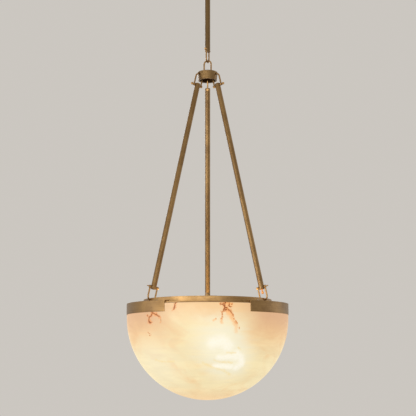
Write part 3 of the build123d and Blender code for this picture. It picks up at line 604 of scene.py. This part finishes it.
def lit_alabaster():
    """Alabaster lit from inside, with the lamps' light painted in as emission: cream near the lamps, peach
    and dim under the clips, whose shadow is painted shade, with rust veins. Its base colour is kept dark to
    leave room for the painted light.

    Heights are in metres over the bowl's centre.
    """
    material, sheet, shader = new_finish("lit alabaster", Emission_Strength=1.0, Specular_IOR_Level=0.35,
                                         Sheen_Weight=0.08, Sheen_Roughness=0.4)
    place = {"Vector": object_point(sheet), "Location": (0.0, 0.0, -BOWL_CENTRE)}
    point = sheet.lay("ShaderNodeMapping", place).outputs[0]
    x, y, height = sheet.parts(point)

    clouds = sheet.noise(sheet.vector("MULTIPLY", point, (1.0, 1.0, 1.5)), 8.5, 6.0, 0.58, 1.1)
    streaks = sheet.noise(sheet.vector("MULTIPLY", point, (1.0, 1.0, 6.5)), 9.0, 5.0, 0.6, 0.8)
    crystal = sheet.noise(point, 620.0, 2.0, 0.6)

    # Painted shade in the emission: the stone is warmer near the rim, and dimmer and warmer still below the
    # three clips, which shade it
    turn = sheet.math("ARCTAN2", y, x)
    clip = sheet.times(sheet.math("SINE", sheet.times(turn, 3.0)), -1.0)
    clip_shade_mask = sheet.ramp(clip, -0.80, 0.90)
    level = sheet.plus(height, sheet.times(sheet.minus(clouds, 0.5), 0.06))
    warm = sheet.times(clip_shade_mask, sheet.ramp(level, -0.150, -0.030))
    warm = sheet.math("MAXIMUM", warm, sheet.ramp(level, -0.050, 0.030))
    dim = sheet.times(clip_shade_mask, sheet.ramp(level, -0.085, 0.010, 0.0, 0.85))
    foot = sheet.ramp(height, -0.205, -0.253, 0.0, 0.70)
    tone = sheet.mix(sheet.ramp(clouds, 0.44, 0.78, 0.0, 0.75), STONE_CREAM, STONE_PEACH)
    tone = sheet.mix(sheet.math("MAXIMUM", warm, foot), tone, STONE_PEACH)
    tone = sheet.mix(dim, tone, STONE_SHADE)

    # Painted pools of light where the lamps glow through the stone
    for centre, reach, strength in GLOWS:
        away = sheet.vector("DISTANCE", point, [c * MM for c in centre])
        ragged = sheet.plus(away, sheet.times(sheet.minus(streaks, 0.5), 0.07))
        tone = sheet.mix(sheet.ramp(ragged, 0.015, reach * MM, strength, 0.0), tone, STONE_GLOW)

    band = sheet.ramp(streaks, 0.36, 0.66, -0.5, 0.5)
    lift = sheet.plus(1.0, sheet.times(band, sheet.ramp(height, -0.02, -0.12, 0.03, 0.075)))
    lift = sheet.plus(lift, sheet.times(sheet.minus(crystal, 0.5), 0.05))
    tone = sheet.vector("SCALE", tone, Scale=lift)

    # Veins wander by noise and break up along their length
    wander = sheet.vector("SUBTRACT", sheet.noise(point, 85.0, 3.0, 0.6, colour=True), (0.5, 0.5, 0.5))
    wandered = sheet.vector("ADD", point, sheet.vector("SCALE", wander, Scale=0.012))
    breaks = sheet.noise(point, 210.0, 3.0, 0.6)
    wash, wandered = nearest_vein(sheet, wandered, RUST_WASHES)
    rust, wandered = nearest_vein(sheet, wandered, RUST_VEINS)
    deep, wandered = nearest_vein(sheet, wandered, DEEP_LINES)
    clear, _ = nearest_vein(sheet, wandered, CLEAR_PATCHES)
    wash = sheet.times(wash, sheet.ramp(breaks, 0.2, 0.8, 0.75, 1.3))
    wash = sheet.ramp(wash, 0.10, 1.15, 1.0, 0.0)
    wash = sheet.times(wash, sheet.ramp(height, -0.060, 0.020, 0.36, 0.80))
    rust = sheet.times(rust, sheet.ramp(breaks, 0.25, 0.75, 0.45, 1.6))
    stain = sheet.ramp(rust, 0.4, 2.8, 0.80, 0.0)
    near_rim = sheet.ramp(height, -0.004, 0.018, 0.40, 0.95)
    dark = sheet.math("MAXIMUM", near_rim, sheet.ramp(x, 0.0, -0.05, 0.0, 0.85))
    core = sheet.times(sheet.ramp(rust, 0.25, 1.15, 1.0, 0.0), dark)
    clear = sheet.ramp(clear, 0.2, 1.9, 0.85, 0.0)
    clear = sheet.times(clear, sheet.ramp(breaks, 0.30, 0.60, 0.6, 1.0))
    deep = sheet.ramp(deep, 0.0, 1.7, 0.60, 0.0)
    deep = sheet.times(deep, sheet.ramp(breaks, 0.3, 0.65, 0.25, 1.0))

    # Hair lines lie where a shifted noise passes its middle
    hair = sheet.noise(sheet.vector("ADD", point, HAIR_SHIFT), 15.0, 4.0, 0.55, 1.6)
    hair = sheet.ramp(sheet.math("ABSOLUTE", sheet.minus(hair, 0.5)), 0.0, 0.007, 1.0, 0.0)
    hair = sheet.times(hair, sheet.ramp(sheet.noise(point, 6.0, 2.0), 0.5, 0.7, 0.0, 0.30))

    def veined(colour, core_colour, stain_colour, wash_colour, deep_colour):
        marked = sheet.mix(sheet.math("MAXIMUM", hair, deep), colour, deep_colour)
        marked = sheet.mix(wash, marked, wash_colour)
        return sheet.mix(core, sheet.mix(stain, marked, stain_colour), core_colour)

    # Painted light: the lamps' light through the clear crystal
    tone = sheet.mix(clear, tone, STONE_CLEAR)
    lit = veined(tone, RUST_CORE, RUST_STAIN, RUST_WASH, STONE_YELLOW)
    sheet.wire(lit, shader.inputs["Emission Color"])
    unlit = sheet.mix(clouds, [c * 1.12 for c in STONE_UNLIT], [c * 0.88 for c in STONE_UNLIT])
    unlit = veined(unlit, UNLIT_CORE, UNLIT_STAIN, UNLIT_WASH, UNLIT_YELLOW)
    sheet.wire(unlit, shader.inputs["Base Color"])
    sheet.wire(sheet.ramp(clouds, 0.3, 0.7, 0.36, 0.50), shader.inputs["Roughness"])
    wear = sheet.use(WORN_EDGES, Point=point, Radius=0.0012)
    raise_grain(sheet, shader, crystal, 0.00008, 0.35, wear["Normal"])
    return material


# ---- Turned and threaded pieces --------------------------------------------------------------------------


def give_shape(sheet, shape, takes, gives):
    """Ends a tree with plain geometry that wears its finish."""
    real = sheet.lay("GeometryNodeRealizeInstances", {"Geometry": shape}).outputs[0]
    feeds = {"Geometry": real, "Material": takes["Finish"]}
    dressed = sheet.lay("GeometryNodeSetMaterial", feeds).outputs[0]
    sheet.wire(dressed, gives.inputs["Shape"])


def make_turning():
    """Turns an outline about the vertical axis and cuts a thread, or a crossed knurl, into its outside."""
    takes = {"Outline": ("shape", None), "Segments": ("count", 32), "Starts": ("number", 1.0),
             "Pitch": ("number", 0.001), "Depth": ("number", 0.0004), "Bottom": ("number", 0.0),
             "Top": ("number", 0.0), "Least Radius": ("number", 0.0), "Crossed": ("number", 0.0),
             "Finish": ("finish", None)}
    sheet, takes, gives = new_group("Turning", "GeometryNodeTree", takes, {"Shape": "shape"})
    counted = sheet.lay("GeometryNodeAttributeDomainSize", {0: takes["Outline"]}, component="MESH")
    size = counted.outputs["Point Count"]
    feeds = {"Size X": 1.0, "Size Y": 1.0, "Vertices X": sheet.plus(takes["Segments"], 1.0),
             "Vertices Y": size}
    grid = sheet.lay("GeometryNodeMeshGrid", feeds).outputs["Mesh"]
    across, along, _ = sheet.parts(sheet.lay("GeometryNodeInputPosition").outputs[0])
    turn = sheet.plus(across, 0.5)
    row = sheet.times(sheet.plus(along, 0.5), sheet.minus(size, 1.0))
    picked = sheet.lay("GeometryNodeSampleIndex", {"Geometry": takes["Outline"]}, data_type="FLOAT_VECTOR",
                       domain="POINT")
    sheet.wire(sheet.lay("GeometryNodeInputPosition").outputs[0], picked.inputs["Value"])
    sheet.wire(sheet.math("ROUND", row), picked.inputs["Index"])
    radius, _, height = sheet.parts(picked.outputs["Value"])
    rise = sheet.math("DIVIDE", height, takes["Pitch"])
    wound = sheet.times(turn, takes["Starts"])

    def groove(phase):
        wave = sheet.math("COSINE", sheet.times(phase, 2 * pi))
        return sheet.minus(0.5, sheet.times(wave, 0.5))

    one = groove(sheet.minus(wound, rise))
    other = sheet.times(groove(sheet.plus(wound, rise)), takes["Crossed"])
    cut = sheet.math("MAXIMUM", one, other)
    inside = sheet.times(sheet.math("GREATER_THAN", height, takes["Bottom"]),
                        sheet.math("LESS_THAN", height, takes["Top"]))
    inside = sheet.times(inside, sheet.math("GREATER_THAN", radius, takes["Least Radius"]))
    cut = sheet.times(sheet.times(cut, inside), takes["Depth"])
    kept = sheet.minus(radius, cut)
    angle = sheet.times(turn, 2 * pi)
    spot = sheet.join(sheet.times(kept, sheet.math("COSINE", angle)),
                      sheet.times(kept, sheet.math("SINE", angle)), height)
    shaped = sheet.lay("GeometryNodeSetPosition", {"Geometry": grid, "Position": spot}).outputs[0]
    closed = sheet.lay("GeometryNodeMergeByDistance", {"Geometry": shaped, "Distance": SEAM_GAP}).outputs[0]
    smooth = sheet.lay("GeometryNodeSetShadeSmooth", {"Geometry": closed}).outputs[0]
    give_shape(sheet, smooth, takes, gives)
    return sheet.tree


def make_screw_set():
    """Slots a turned screw and stands one at each place, its head looking along that place's aim."""
    takes = {"Places": ("shape", None), "Screw": ("pattern", None), "Head Diameter": ("number", 0.008),
             "Head Height": ("number", 0.002), "Slot Width": ("number", 0.001),
             "Slot Depth": ("number", 0.001), "Seed": ("count", 3), "Finish": ("finish", None)}
    sheet, takes, gives = new_group("Screw set", "GeometryNodeTree", takes, {"Shape": "shape"})
    blank = sheet.lay("GeometryNodeObjectInfo", {"Object": takes["Screw"]}).outputs["Geometry"]
    # The cutting bar is longer than the head is wide, and half of its height stands over the head
    length = sheet.times(takes["Head Diameter"], 1.3)
    depth = sheet.times(takes["Slot Depth"], 2.0)
    feeds = {"Size": sheet.join(length, takes["Slot Width"], depth)}
    bar = sheet.lay("GeometryNodeMeshCube", feeds).outputs["Mesh"]
    feeds = {"Geometry": bar, "Translation": sheet.join(0.0, 0.0, takes["Head Height"])}
    bar = sheet.lay("GeometryNodeTransform", feeds).outputs[0]
    feeds = {"Mesh 1": blank, "Mesh 2": bar}
    slotted = sheet.lay("GeometryNodeMeshBoolean", feeds, operation="DIFFERENCE").outputs[0]
    aim = sheet.lay("GeometryNodeInputNamedAttribute", {"Name": "aim"}, data_type="FLOAT_VECTOR").outputs[0]
    stood = sheet.lay("FunctionNodeAlignRotationToVector", {"Vector": aim}, axis="Z").outputs[0]
    chance = sheet.lay("FunctionNodeRandomValue", {"Seed": takes["Seed"]}, data_type="FLOAT").outputs[1]
    spin = {"Axis": (0.0, 0.0, 1.0), "Angle": sheet.times(chance, pi)}
    spun = sheet.lay("FunctionNodeAxisAngleToRotation", spin).outputs[0]
    turned = sheet.lay("FunctionNodeRotateRotation", {0: stood, 1: spun}, rotation_space="LOCAL").outputs[0]
    feeds = {"Points": takes["Places"], "Instance": slotted, "Rotation": turned}
    spread = sheet.lay("GeometryNodeInstanceOnPoints", feeds).outputs[0]
    give_shape(sheet, spread, takes, gives)
    return sheet.tree


TURNING = make_turning()
SCREW_SET = make_screw_set()


def host_of(points, joined=True, **attributes):
    """An object that carries points, in a row or loose, with an attribute's value on each."""
    mesh = bpy.data.meshes.new("host")
    edges = [(i, i + 1) for i in range(len(points) - 1)] if joined else []
    mesh.from_pydata([Vector(p) for p in points], edges, [])
    for name, values in attributes.items():
        layer = mesh.attributes.new(name, "FLOAT_VECTOR", "POINT")
        for row, value in zip(layer.data, values):
            row.vector = value
    host = bpy.data.objects.new("host", mesh)
    scene.collection.objects.link(host)
    return host


def grow(name, host, tree, values, at=(0.0, 0.0, 0.0), crease=38.0):
    """Runs a tree on a host and keeps what it makes as a plain mesh, its place in its points."""
    modifier = host.modifiers.new("tree", "NODES")
    modifier.node_group = tree
    for item in tree.interface.items_tree:
        if item.in_out == "INPUT" and item.name in values:
            modifier[item.identifier] = values[item.name]
    graph = bpy.context.evaluated_depsgraph_get()
    mesh = bpy.data.meshes.new_from_object(host.evaluated_get(graph))
    host.modifiers.remove(modifier)
    bpy.data.objects.remove(host)
    form = bmesh.new()
    form.from_mesh(mesh)
    bmesh.ops.remove_doubles(form, verts=form.verts, dist=DOUBLE_GAP)
    bmesh.ops.recalc_face_normals(form, faces=form.faces)
    form.to_mesh(mesh)
    form.free()
    mesh.transform(Matrix.Translation(at))
    mesh.polygons.foreach_set("use_smooth", [True] * len(mesh.polygons))
    mesh.set_sharp_from_angle(angle=radians(crease))
    piece = bpy.data.objects.new(name, mesh)
    scene.collection.objects.link(piece)
    return piece


def stands_for(piece, body, slot, *names):
    """Puts a finer piece in the place of CAD nodes."""
    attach(piece, body)
    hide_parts(*names)


def rows(start, end, step):
    """Outline points about a step apart, from one (radius, height) towards another, which is left out."""
    (r0, z0), (r1, z1) = start, end
    count = max(1, round(sqrt((r1 - r0) ** 2 + (z1 - z0) ** 2) / step))
    return [(r0 + (r1 - r0) * i / count, z0 + (z1 - z0) * i / count) for i in range(count)]


def corner(centre, radius, start, end, count):
    """Outline points round a rounded corner, angles from the radial direction."""
    turns = [radians(start + (end - start) * i / count) for i in range(count + 1)]
    return [(centre[0] + radius * cos(a), centre[1] + radius * sin(a)) for a in turns]


def outline(points):
    return host_of([(r, 0.0, z) for r, z in points])


# ---- Studio ----------------------------------------------------------------------------------------------


def set_camera():
    camera = bpy.data.cameras.new("camera")
    camera.sensor_width = SENSOR_WIDTH
    camera.lens = SENSOR_WIDTH * FOCAL_LENGTH / FRAME_WIDTH
    camera.clip_end = VIEW_END
    holder = bpy.data.objects.new("camera", camera)
    holder.location = CAMERA_PLACE
    holder.rotation_euler = (radians(90.0 + CAMERA_TILT), 0.0, 0.0)
    scene.collection.objects.link(holder)
    scene.camera = holder


def looking_rays(sheet):
    """1 for rays that look, straight or by a mirror or glass, and 0 for rays that gather light."""
    path = sheet.lay("ShaderNodeLightPath").outputs
    seen = sheet.math("MAXIMUM", path["Is Camera Ray"], path["Is Glossy Ray"])
    return sheet.math("MAXIMUM", seen, path["Is Transmission Ray"])


def set_world():
    world = bpy.data.worlds.new("studio")
    world.use_nodes = True
    world.node_tree.nodes.clear()
    sheet = Sheet(world.node_tree)
    fill = sheet.lay("ShaderNodeBackground", {"Color": FILL_COLOUR, "Strength": FILL_STRENGTH}).outputs[0]
    seen = sheet.lay("ShaderNodeBackground", {"Color": BACKDROP, "Strength": 1.0}).outputs[0]
    both = sheet.lay("ShaderNodeMixShader", {0: looking_rays(sheet), 1: fill, 2: seen}).outputs[0]
    sheet.wire(both, sheet.lay("ShaderNodeOutputWorld").inputs["Surface"])
    scene.world = world


def lay_floor():
    """A pale round floor that fades into the backdrop's colour, and isn't seen from below."""
    mesh = bpy.data.meshes.new("studio_floor")
    form = bmesh.new()
    bmesh.ops.create_circle(form, cap_ends=True, segments=96, radius=FLOOR_RADIUS)
    bmesh.ops.translate(form, verts=form.verts, vec=(0.0, 0.0, FLOOR_HEIGHT))
    form.to_mesh(mesh)
    form.free()
    floor = bpy.data.objects.new("studio_floor", mesh)
    scene.collection.objects.link(floor)
    material, sheet, shader = new_finish("studio floor", Specular_IOR_Level=0.2)
    point = object_point(sheet)
    x, y, _ = sheet.parts(point)
    speckle = sheet.noise(point, 5.0, 6.0, 0.6)
    tone = sheet.mix(sheet.ramp(speckle, 0.3, 0.7), [c * 0.985 for c in FLOOR_PALE], FLOOR_PALE)
    sheet.wire(tone, shader.inputs["Base Color"])
    sheet.wire(sheet.ramp(speckle, 0.3, 0.7, 0.7, 0.8), shader.inputs["Roughness"])
    glow = sheet.lay("ShaderNodeEmission", {"Color": BACKDROP, "Strength": 1.0}).outputs[0]
    clear = sheet.lay("ShaderNodeBsdfTransparent").outputs[0]
    far = sheet.ramp(sheet.vector("LENGTH", sheet.join(x, y, 0.0)), *FLOOR_FADE, FLOOR_GLOW, 1.0)
    far = sheet.times(far, looking_rays(sheet))
    faded = sheet.lay("ShaderNodeMixShader", {0: far, 1: shader.outputs[0], 2: glow}).outputs[0]
    below = sheet.lay("ShaderNodeNewGeometry").outputs["Backfacing"]
    shown = sheet.lay("ShaderNodeMixShader", {0: below, 1: faded, 2: clear}).outputs[0]
    output = next(n for n in material.node_tree.nodes if n.type == "OUTPUT_MATERIAL")
    sheet.wire(shown, output.inputs["Surface"])
    mesh.materials.append(material)


def hang_lamp(name, place, aim, size, power, colour, spread=FULL_SPREAD):
    lamp = bpy.data.lights.new(name, "AREA")
    lamp.spread = radians(spread)
    lamp.shape = "RECTANGLE"
    lamp.size, lamp.size_y = size
    lamp.energy = power
    lamp.color = colour
    holder = bpy.data.objects.new(name, lamp)
    holder.location = place
    holder.rotation_euler = (Vector(aim) - Vector(place)).to_track_quat("-Z", "Y").to_euler()
    holder.visible_camera = False
    scene.collection.objects.link(holder)


def set_studio():
    set_camera()
    set_world()
    lay_floor()
    for heading, power in KEY_PANELS:
        angle = radians(heading)
        place = (KEY_DISTANCE * cos(angle), KEY_DISTANCE * sin(angle), KEY_HEIGHT)
        hang_lamp("key", place, KEY_AIM, KEY_SIZE, power, KEY_COLOUR, KEY_SPREAD)
    for lamp in LAMPS:
        hang_lamp(*lamp)
    scene.view_settings.view_transform = "Standard"


set_studio()


# ---- Dressing the CAD nodes ------------------------------------------------------------------------------


def dress(material, *names):
    for name in names:
        mesh = nodes[name].data
        mesh.materials.clear()
        mesh.materials.append(material)


STEEL = zinc_steel()
PORCELAIN = porcelain()
CAP_METAL = cap_metal()
LIT_GLASS = bulb_glass()
RUBBER = moulded("gasket rubber", RUBBER_TONES, 0.68, 0.00004)[0]
PLASTIC = moulded("black plastic", PLASTIC_TONES, 0.46, 0.00003)[0]
AMBER = amber_bushing()
TURNED_BRASS = brass("turned brass")
DUSTY_BRASS = brass("turned brass, dusty", dust=0.22)
# Painted light: the bent bars' brass is painted paler (tone 1.35) to stand for the light they catch
BAR_BRASS_PAINTED_LIGHT = brass("bent bar brass", heading=0.0, tone=1.35, shine=0.28)
# The pins' paler brass (tone 1.85) is partly rubbed wear and partly painted highlight
PIN_BRASS_WORN_AND_PAINTED_LIGHT = brass("pin brass, worn and painted light", heading=0.0, tone=1.85, shine=0.22)
# Painted shade and light: the hub (0.72), stem (0.60) and rods (0.90) are painted darker, and the hoop (1.30)
# paler, each to follow how the light falls on it
HUB_BRASS_PAINTED_SHADE = brass("turned hub brass", tone=0.72)
HOOP_BRASS_PAINTED_LIGHT = brass("turned hoop brass", tone=1.30)
STEM_BRASS_PAINTED_SHADE = brass("drawn stem brass", heading=0.0, tone=0.60)
ROD_BRASS_PAINTED_SHADE = {name: brass(f"drawn rod brass {name}", heading=heading, lean=ROD_LEAN, tone=0.90)
             for name, heading in HEADINGS.items()}

dress(DUSTY_BRASS, "canopy", "rim_plate", "lamp_spider", "wiring_cover")
dress(TURNED_BRASS, "canopy_collar", "swivel_yoke", "swivel_tongue", *[f"rim_clip_{n}" for n in HEADINGS])
dress(HUB_BRASS_PAINTED_SHADE, "hub_cup")
dress(HOOP_BRASS_PAINTED_LIGHT, "hoop")
dress(STEM_BRASS_PAINTED_SHADE, "stem_tube", "stem_plug")
dress(BAR_BRASS_PAINTED_LIGHT, "stem_shackle", "hub_bow")
dress(PIN_BRASS_WORN_AND_PAINTED_LIGHT, "swivel_pin", "stem_pin")
dress(STEEL, "ceiling_strap", "nipple_nuts", "bowl_washers", "holder_nuts")
dress(RUBBER, "rim_gasket")
dress(PLASTIC, "lead_inlet")
dress(AMBER, "lead_bushing")
dress(lit_alabaster(), "bowl")
for name in HEADINGS:
    dress(ROD_BRASS_PAINTED_SHADE[name], f"rod_{name}", f"rod_plugs_{name}")
    dress(BAR_BRASS_PAINTED_LIGHT, f"upper_shackle_{name}", f"lower_shackle_{name}")
    dress(PIN_BRASS_WORN_AND_PAINTED_LIGHT, f"upper_pin_{name}", f"lower_pin_{name}")
    dress(PORCELAIN, f"lampholder_{name}")
    dress(LIT_GLASS, f"bulb_glass_{name}")


# ---- Threads, knurls and screws --------------------------------------------------------------------------


def threaded_nipple():
    low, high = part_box("ceiling_nipple")
    outer, bore, bevel, pitch = high.x, 3.0 * MM, 0.5 * MM, NIPPLE_PITCH
    bottom, top = low.z, high.z
    points = [(bore, bottom), (outer - bevel, bottom)]
    points += rows((outer, bottom + bevel), (outer, top - bevel), pitch / 4)
    points += [(outer, top - bevel), (outer - bevel, top), (bore, top), (bore, bottom)]
    values = {"Segments": 28, "Pitch": pitch, "Depth": 0.55 * MM, "Bottom": bottom + bevel,
              "Top": top - bevel, "Least Radius": outer - 0.1 * MM, "Finish": STEEL}
    piece = grow("nipple_threaded", outline(points), TURNING, values)
    stands_for(piece, "ceiling", "zinc_steel", "ceiling_nipple")


def threaded_stud():
    low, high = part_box("cover_stud")
    foot, shank, bevel, pitch = high.x, 3.0 * MM, 0.6 * MM, STUD_PITCH
    seat = low.z + shank
    points = [(0.0, low.z), (foot - bevel, low.z), (foot, low.z + bevel), (foot, seat), (shank, seat)]
    points += rows((shank, seat + 0.1 * MM), (shank, high.z - bevel), pitch / 4)
    points += [(shank, high.z - bevel), (shank - bevel, high.z), (0.0, high.z)]
    values = {"Segments": 28, "Pitch": pitch, "Depth": 0.5 * MM, "Bottom": seat, "Top": high.z - bevel,
              "Least Radius": shank - 0.1 * MM, "Finish": STEEL}
    piece = grow("cover_stud_threaded", outline(points), TURNING, values)
    # No point of the thread stands past the plain shank of the CAD
    for v in piece.data.vertices:
        if v.co.z > seat and v.co.xy.length > shank:
            v.co.xy *= shank / v.co.xy.length
    stands_for(piece, "bowl_ring", "zinc_steel", "cover_stud")


def knurled_finial():
    low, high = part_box("cover_finial")
    radius, dome, bore, deep = high.x, 4.0 * MM, 3.05 * MM, 8.3 * MM
    bottom, top = low.z, high.z
    band = bottom + 0.9 * MM, bottom + 7.2 * MM
    points = [(bore, bottom), (radius - 0.5 * MM, bottom), (radius, bottom + 0.5 * MM)]
    points += rows((radius, band[0]), (radius, band[1]), 0.3 * MM) + [(radius, band[1])]
    points += corner((radius - dome, top - dome), dome, 0.0, 90.0, 8)
    points += [(0.0, top), (0.0, bottom + deep), (bore, bottom + deep), (bore, bottom)]
    values = {"Segments": 180, "Starts": 36.0, "Pitch": KNURL_PITCH, "Depth": 0.55 * MM,
              "Bottom": band[0] - 0.01 * MM, "Top": band[1] + 0.01 * MM, "Least Radius": radius - 0.1 * MM,
              "Crossed": 1.0, "Finish": TURNED_BRASS}
    piece = grow("cover_finial_knurled", outline(points), TURNING, values, crease=60.0)
    stands_for(piece, "bowl_ring", "aged_brass", "cover_finial")


def threaded_bulb_caps():
    for name in HEADINGS:
        low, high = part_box(f"bulb_cap_{name}")
        radius = (high.x - low.x) / 2
        centre = ((low.x + high.x) / 2, (low.y + high.y) / 2, 0.0)
        contact, tall, pitch, dome = 5.0 * MM, 3.0 * MM, CAP_PITCH, 2.5 * MM
        shell_top = high.z - tall
        points = [(0.0, low.z), (radius - 0.6 * MM, low.z), (radius, low.z + 0.6 * MM)]
        points += rows((radius, low.z + 1.2 * MM), (radius, shell_top - dome), pitch / 9)
        points += corner((radius - dome, shell_top - dome), dome, 0.0, 90.0, 5)
        points += [(contact, shell_top), (contact, high.z - 1.0 * MM), (contact - 1.5 * MM, high.z)]
        points += [(0.0, high.z)]
        values = {"Segments": 48, "Pitch": pitch, "Depth": 0.9 * MM, "Bottom": low.z + 1.0 * MM,
                  "Top": shell_top - 2.6 * MM, "Least Radius": radius - 0.1 * MM, "Finish": CAP_METAL}
        host = outline(points)
        piece = grow(f"bulb_cap_{name}_threaded", host, TURNING, values, at=centre, crease=60.0)
        stands_for(piece, "bowl_ring", "bulb_cap_metal", f"bulb_cap_{name}")


def screw_pattern(size, length, pitch):
    """A turned pan-head screw with its head's underside at the origin, not yet slotted."""
    head, tall, shank = HEAD_RADIUS * size, HEAD_HEIGHT * size, size / 2
    edge = tall * 0.5
    points = [(0.0, tall)]
    points += corner((head - edge, tall - edge), edge, 90.0, 0.0, 5)
    points += [(head, 0.0), (shank, 0.0)]
    points += rows((shank, -0.4 * MM), (shank, -length + 0.5 * MM), pitch / 4)
    points += [(shank, -length + 0.5 * MM), (shank - 0.5 * MM, -length), (0.0, -length)]
    values = {"Segments": 24, "Pitch": pitch, "Depth": SCREW_THREAD_DEPTH * size,
              "Bottom": -length + 0.4 * MM, "Top": -0.3 * MM, "Least Radius": shank - 0.05 * MM,
              "Finish": STEEL}
    return grow("screw", outline(points), TURNING, values)


def screw_group(name, node, size, length, pitch, places, aims):
    """Stands slotted screws at places, with their heads along aims, in the place of one CAD node."""
    pattern = screw_pattern(size, length, pitch)
    values = {"Screw": pattern, "Head Diameter": 2 * HEAD_RADIUS * size, "Head Height": HEAD_HEIGHT * size,
              "Slot Width": SLOT_WIDTH * size, "Slot Depth": SLOT_DEPTH * size, "Seed": 5, "Finish": STEEL}
    piece = grow(name, host_of(places, joined=False, aim=aims), SCREW_SET, values)
    bpy.data.objects.remove(pattern)
    stands_for(piece, "bowl_ring", "zinc_steel", node)


def round_axis(radius, heading, height):
    return Vector((radius * cos(radians(heading)), radius * sin(radians(heading)), height))


def upright_screws(name, node, radius, headings):
    """Small screws that stand on a circle, heads up, as long as the CAD's."""
    low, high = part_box(node)
    seat = high.z - HEAD_HEIGHT * SMALL_SCREW
    places = [round_axis(radius, h, seat) for h in headings]
    aims = [Vector((0.0, 0.0, 1.0))] * len(places)
    screw_group(name, node, SMALL_SCREW, seat - low.z, SMALL_SCREW_PITCH, places, aims)


def fit_screws():
    pairs = [h + side * CLIP_SCREW_TURN for h in HEADINGS.values() for side in (-1, 1)]
    upright_screws("clip_screws_slotted", "clip_screws", CLIP_SCREW_RADIUS, pairs)
    upright_screws("spider_screws_slotted", "spider_screws", SPIDER_SCREW_RADIUS, SPIDER_SCREW_HEADINGS)
    places = [round_axis(BOWL_SCREW_RADIUS, h, BOWL_SCREW_HEIGHT) for h in pairs]
    aims = [-round_axis(1.0, h, 0.0) for h in pairs]
    sizes = BOWL_SCREW, BOWL_SCREW_LENGTH, BOWL_SCREW_PITCH
    screw_group("bowl_screws_slotted", "bowl_screws", *sizes, places, aims)


threaded_nipple()
threaded_stud()
knurled_finial()
threaded_bulb_caps()
fit_screws()
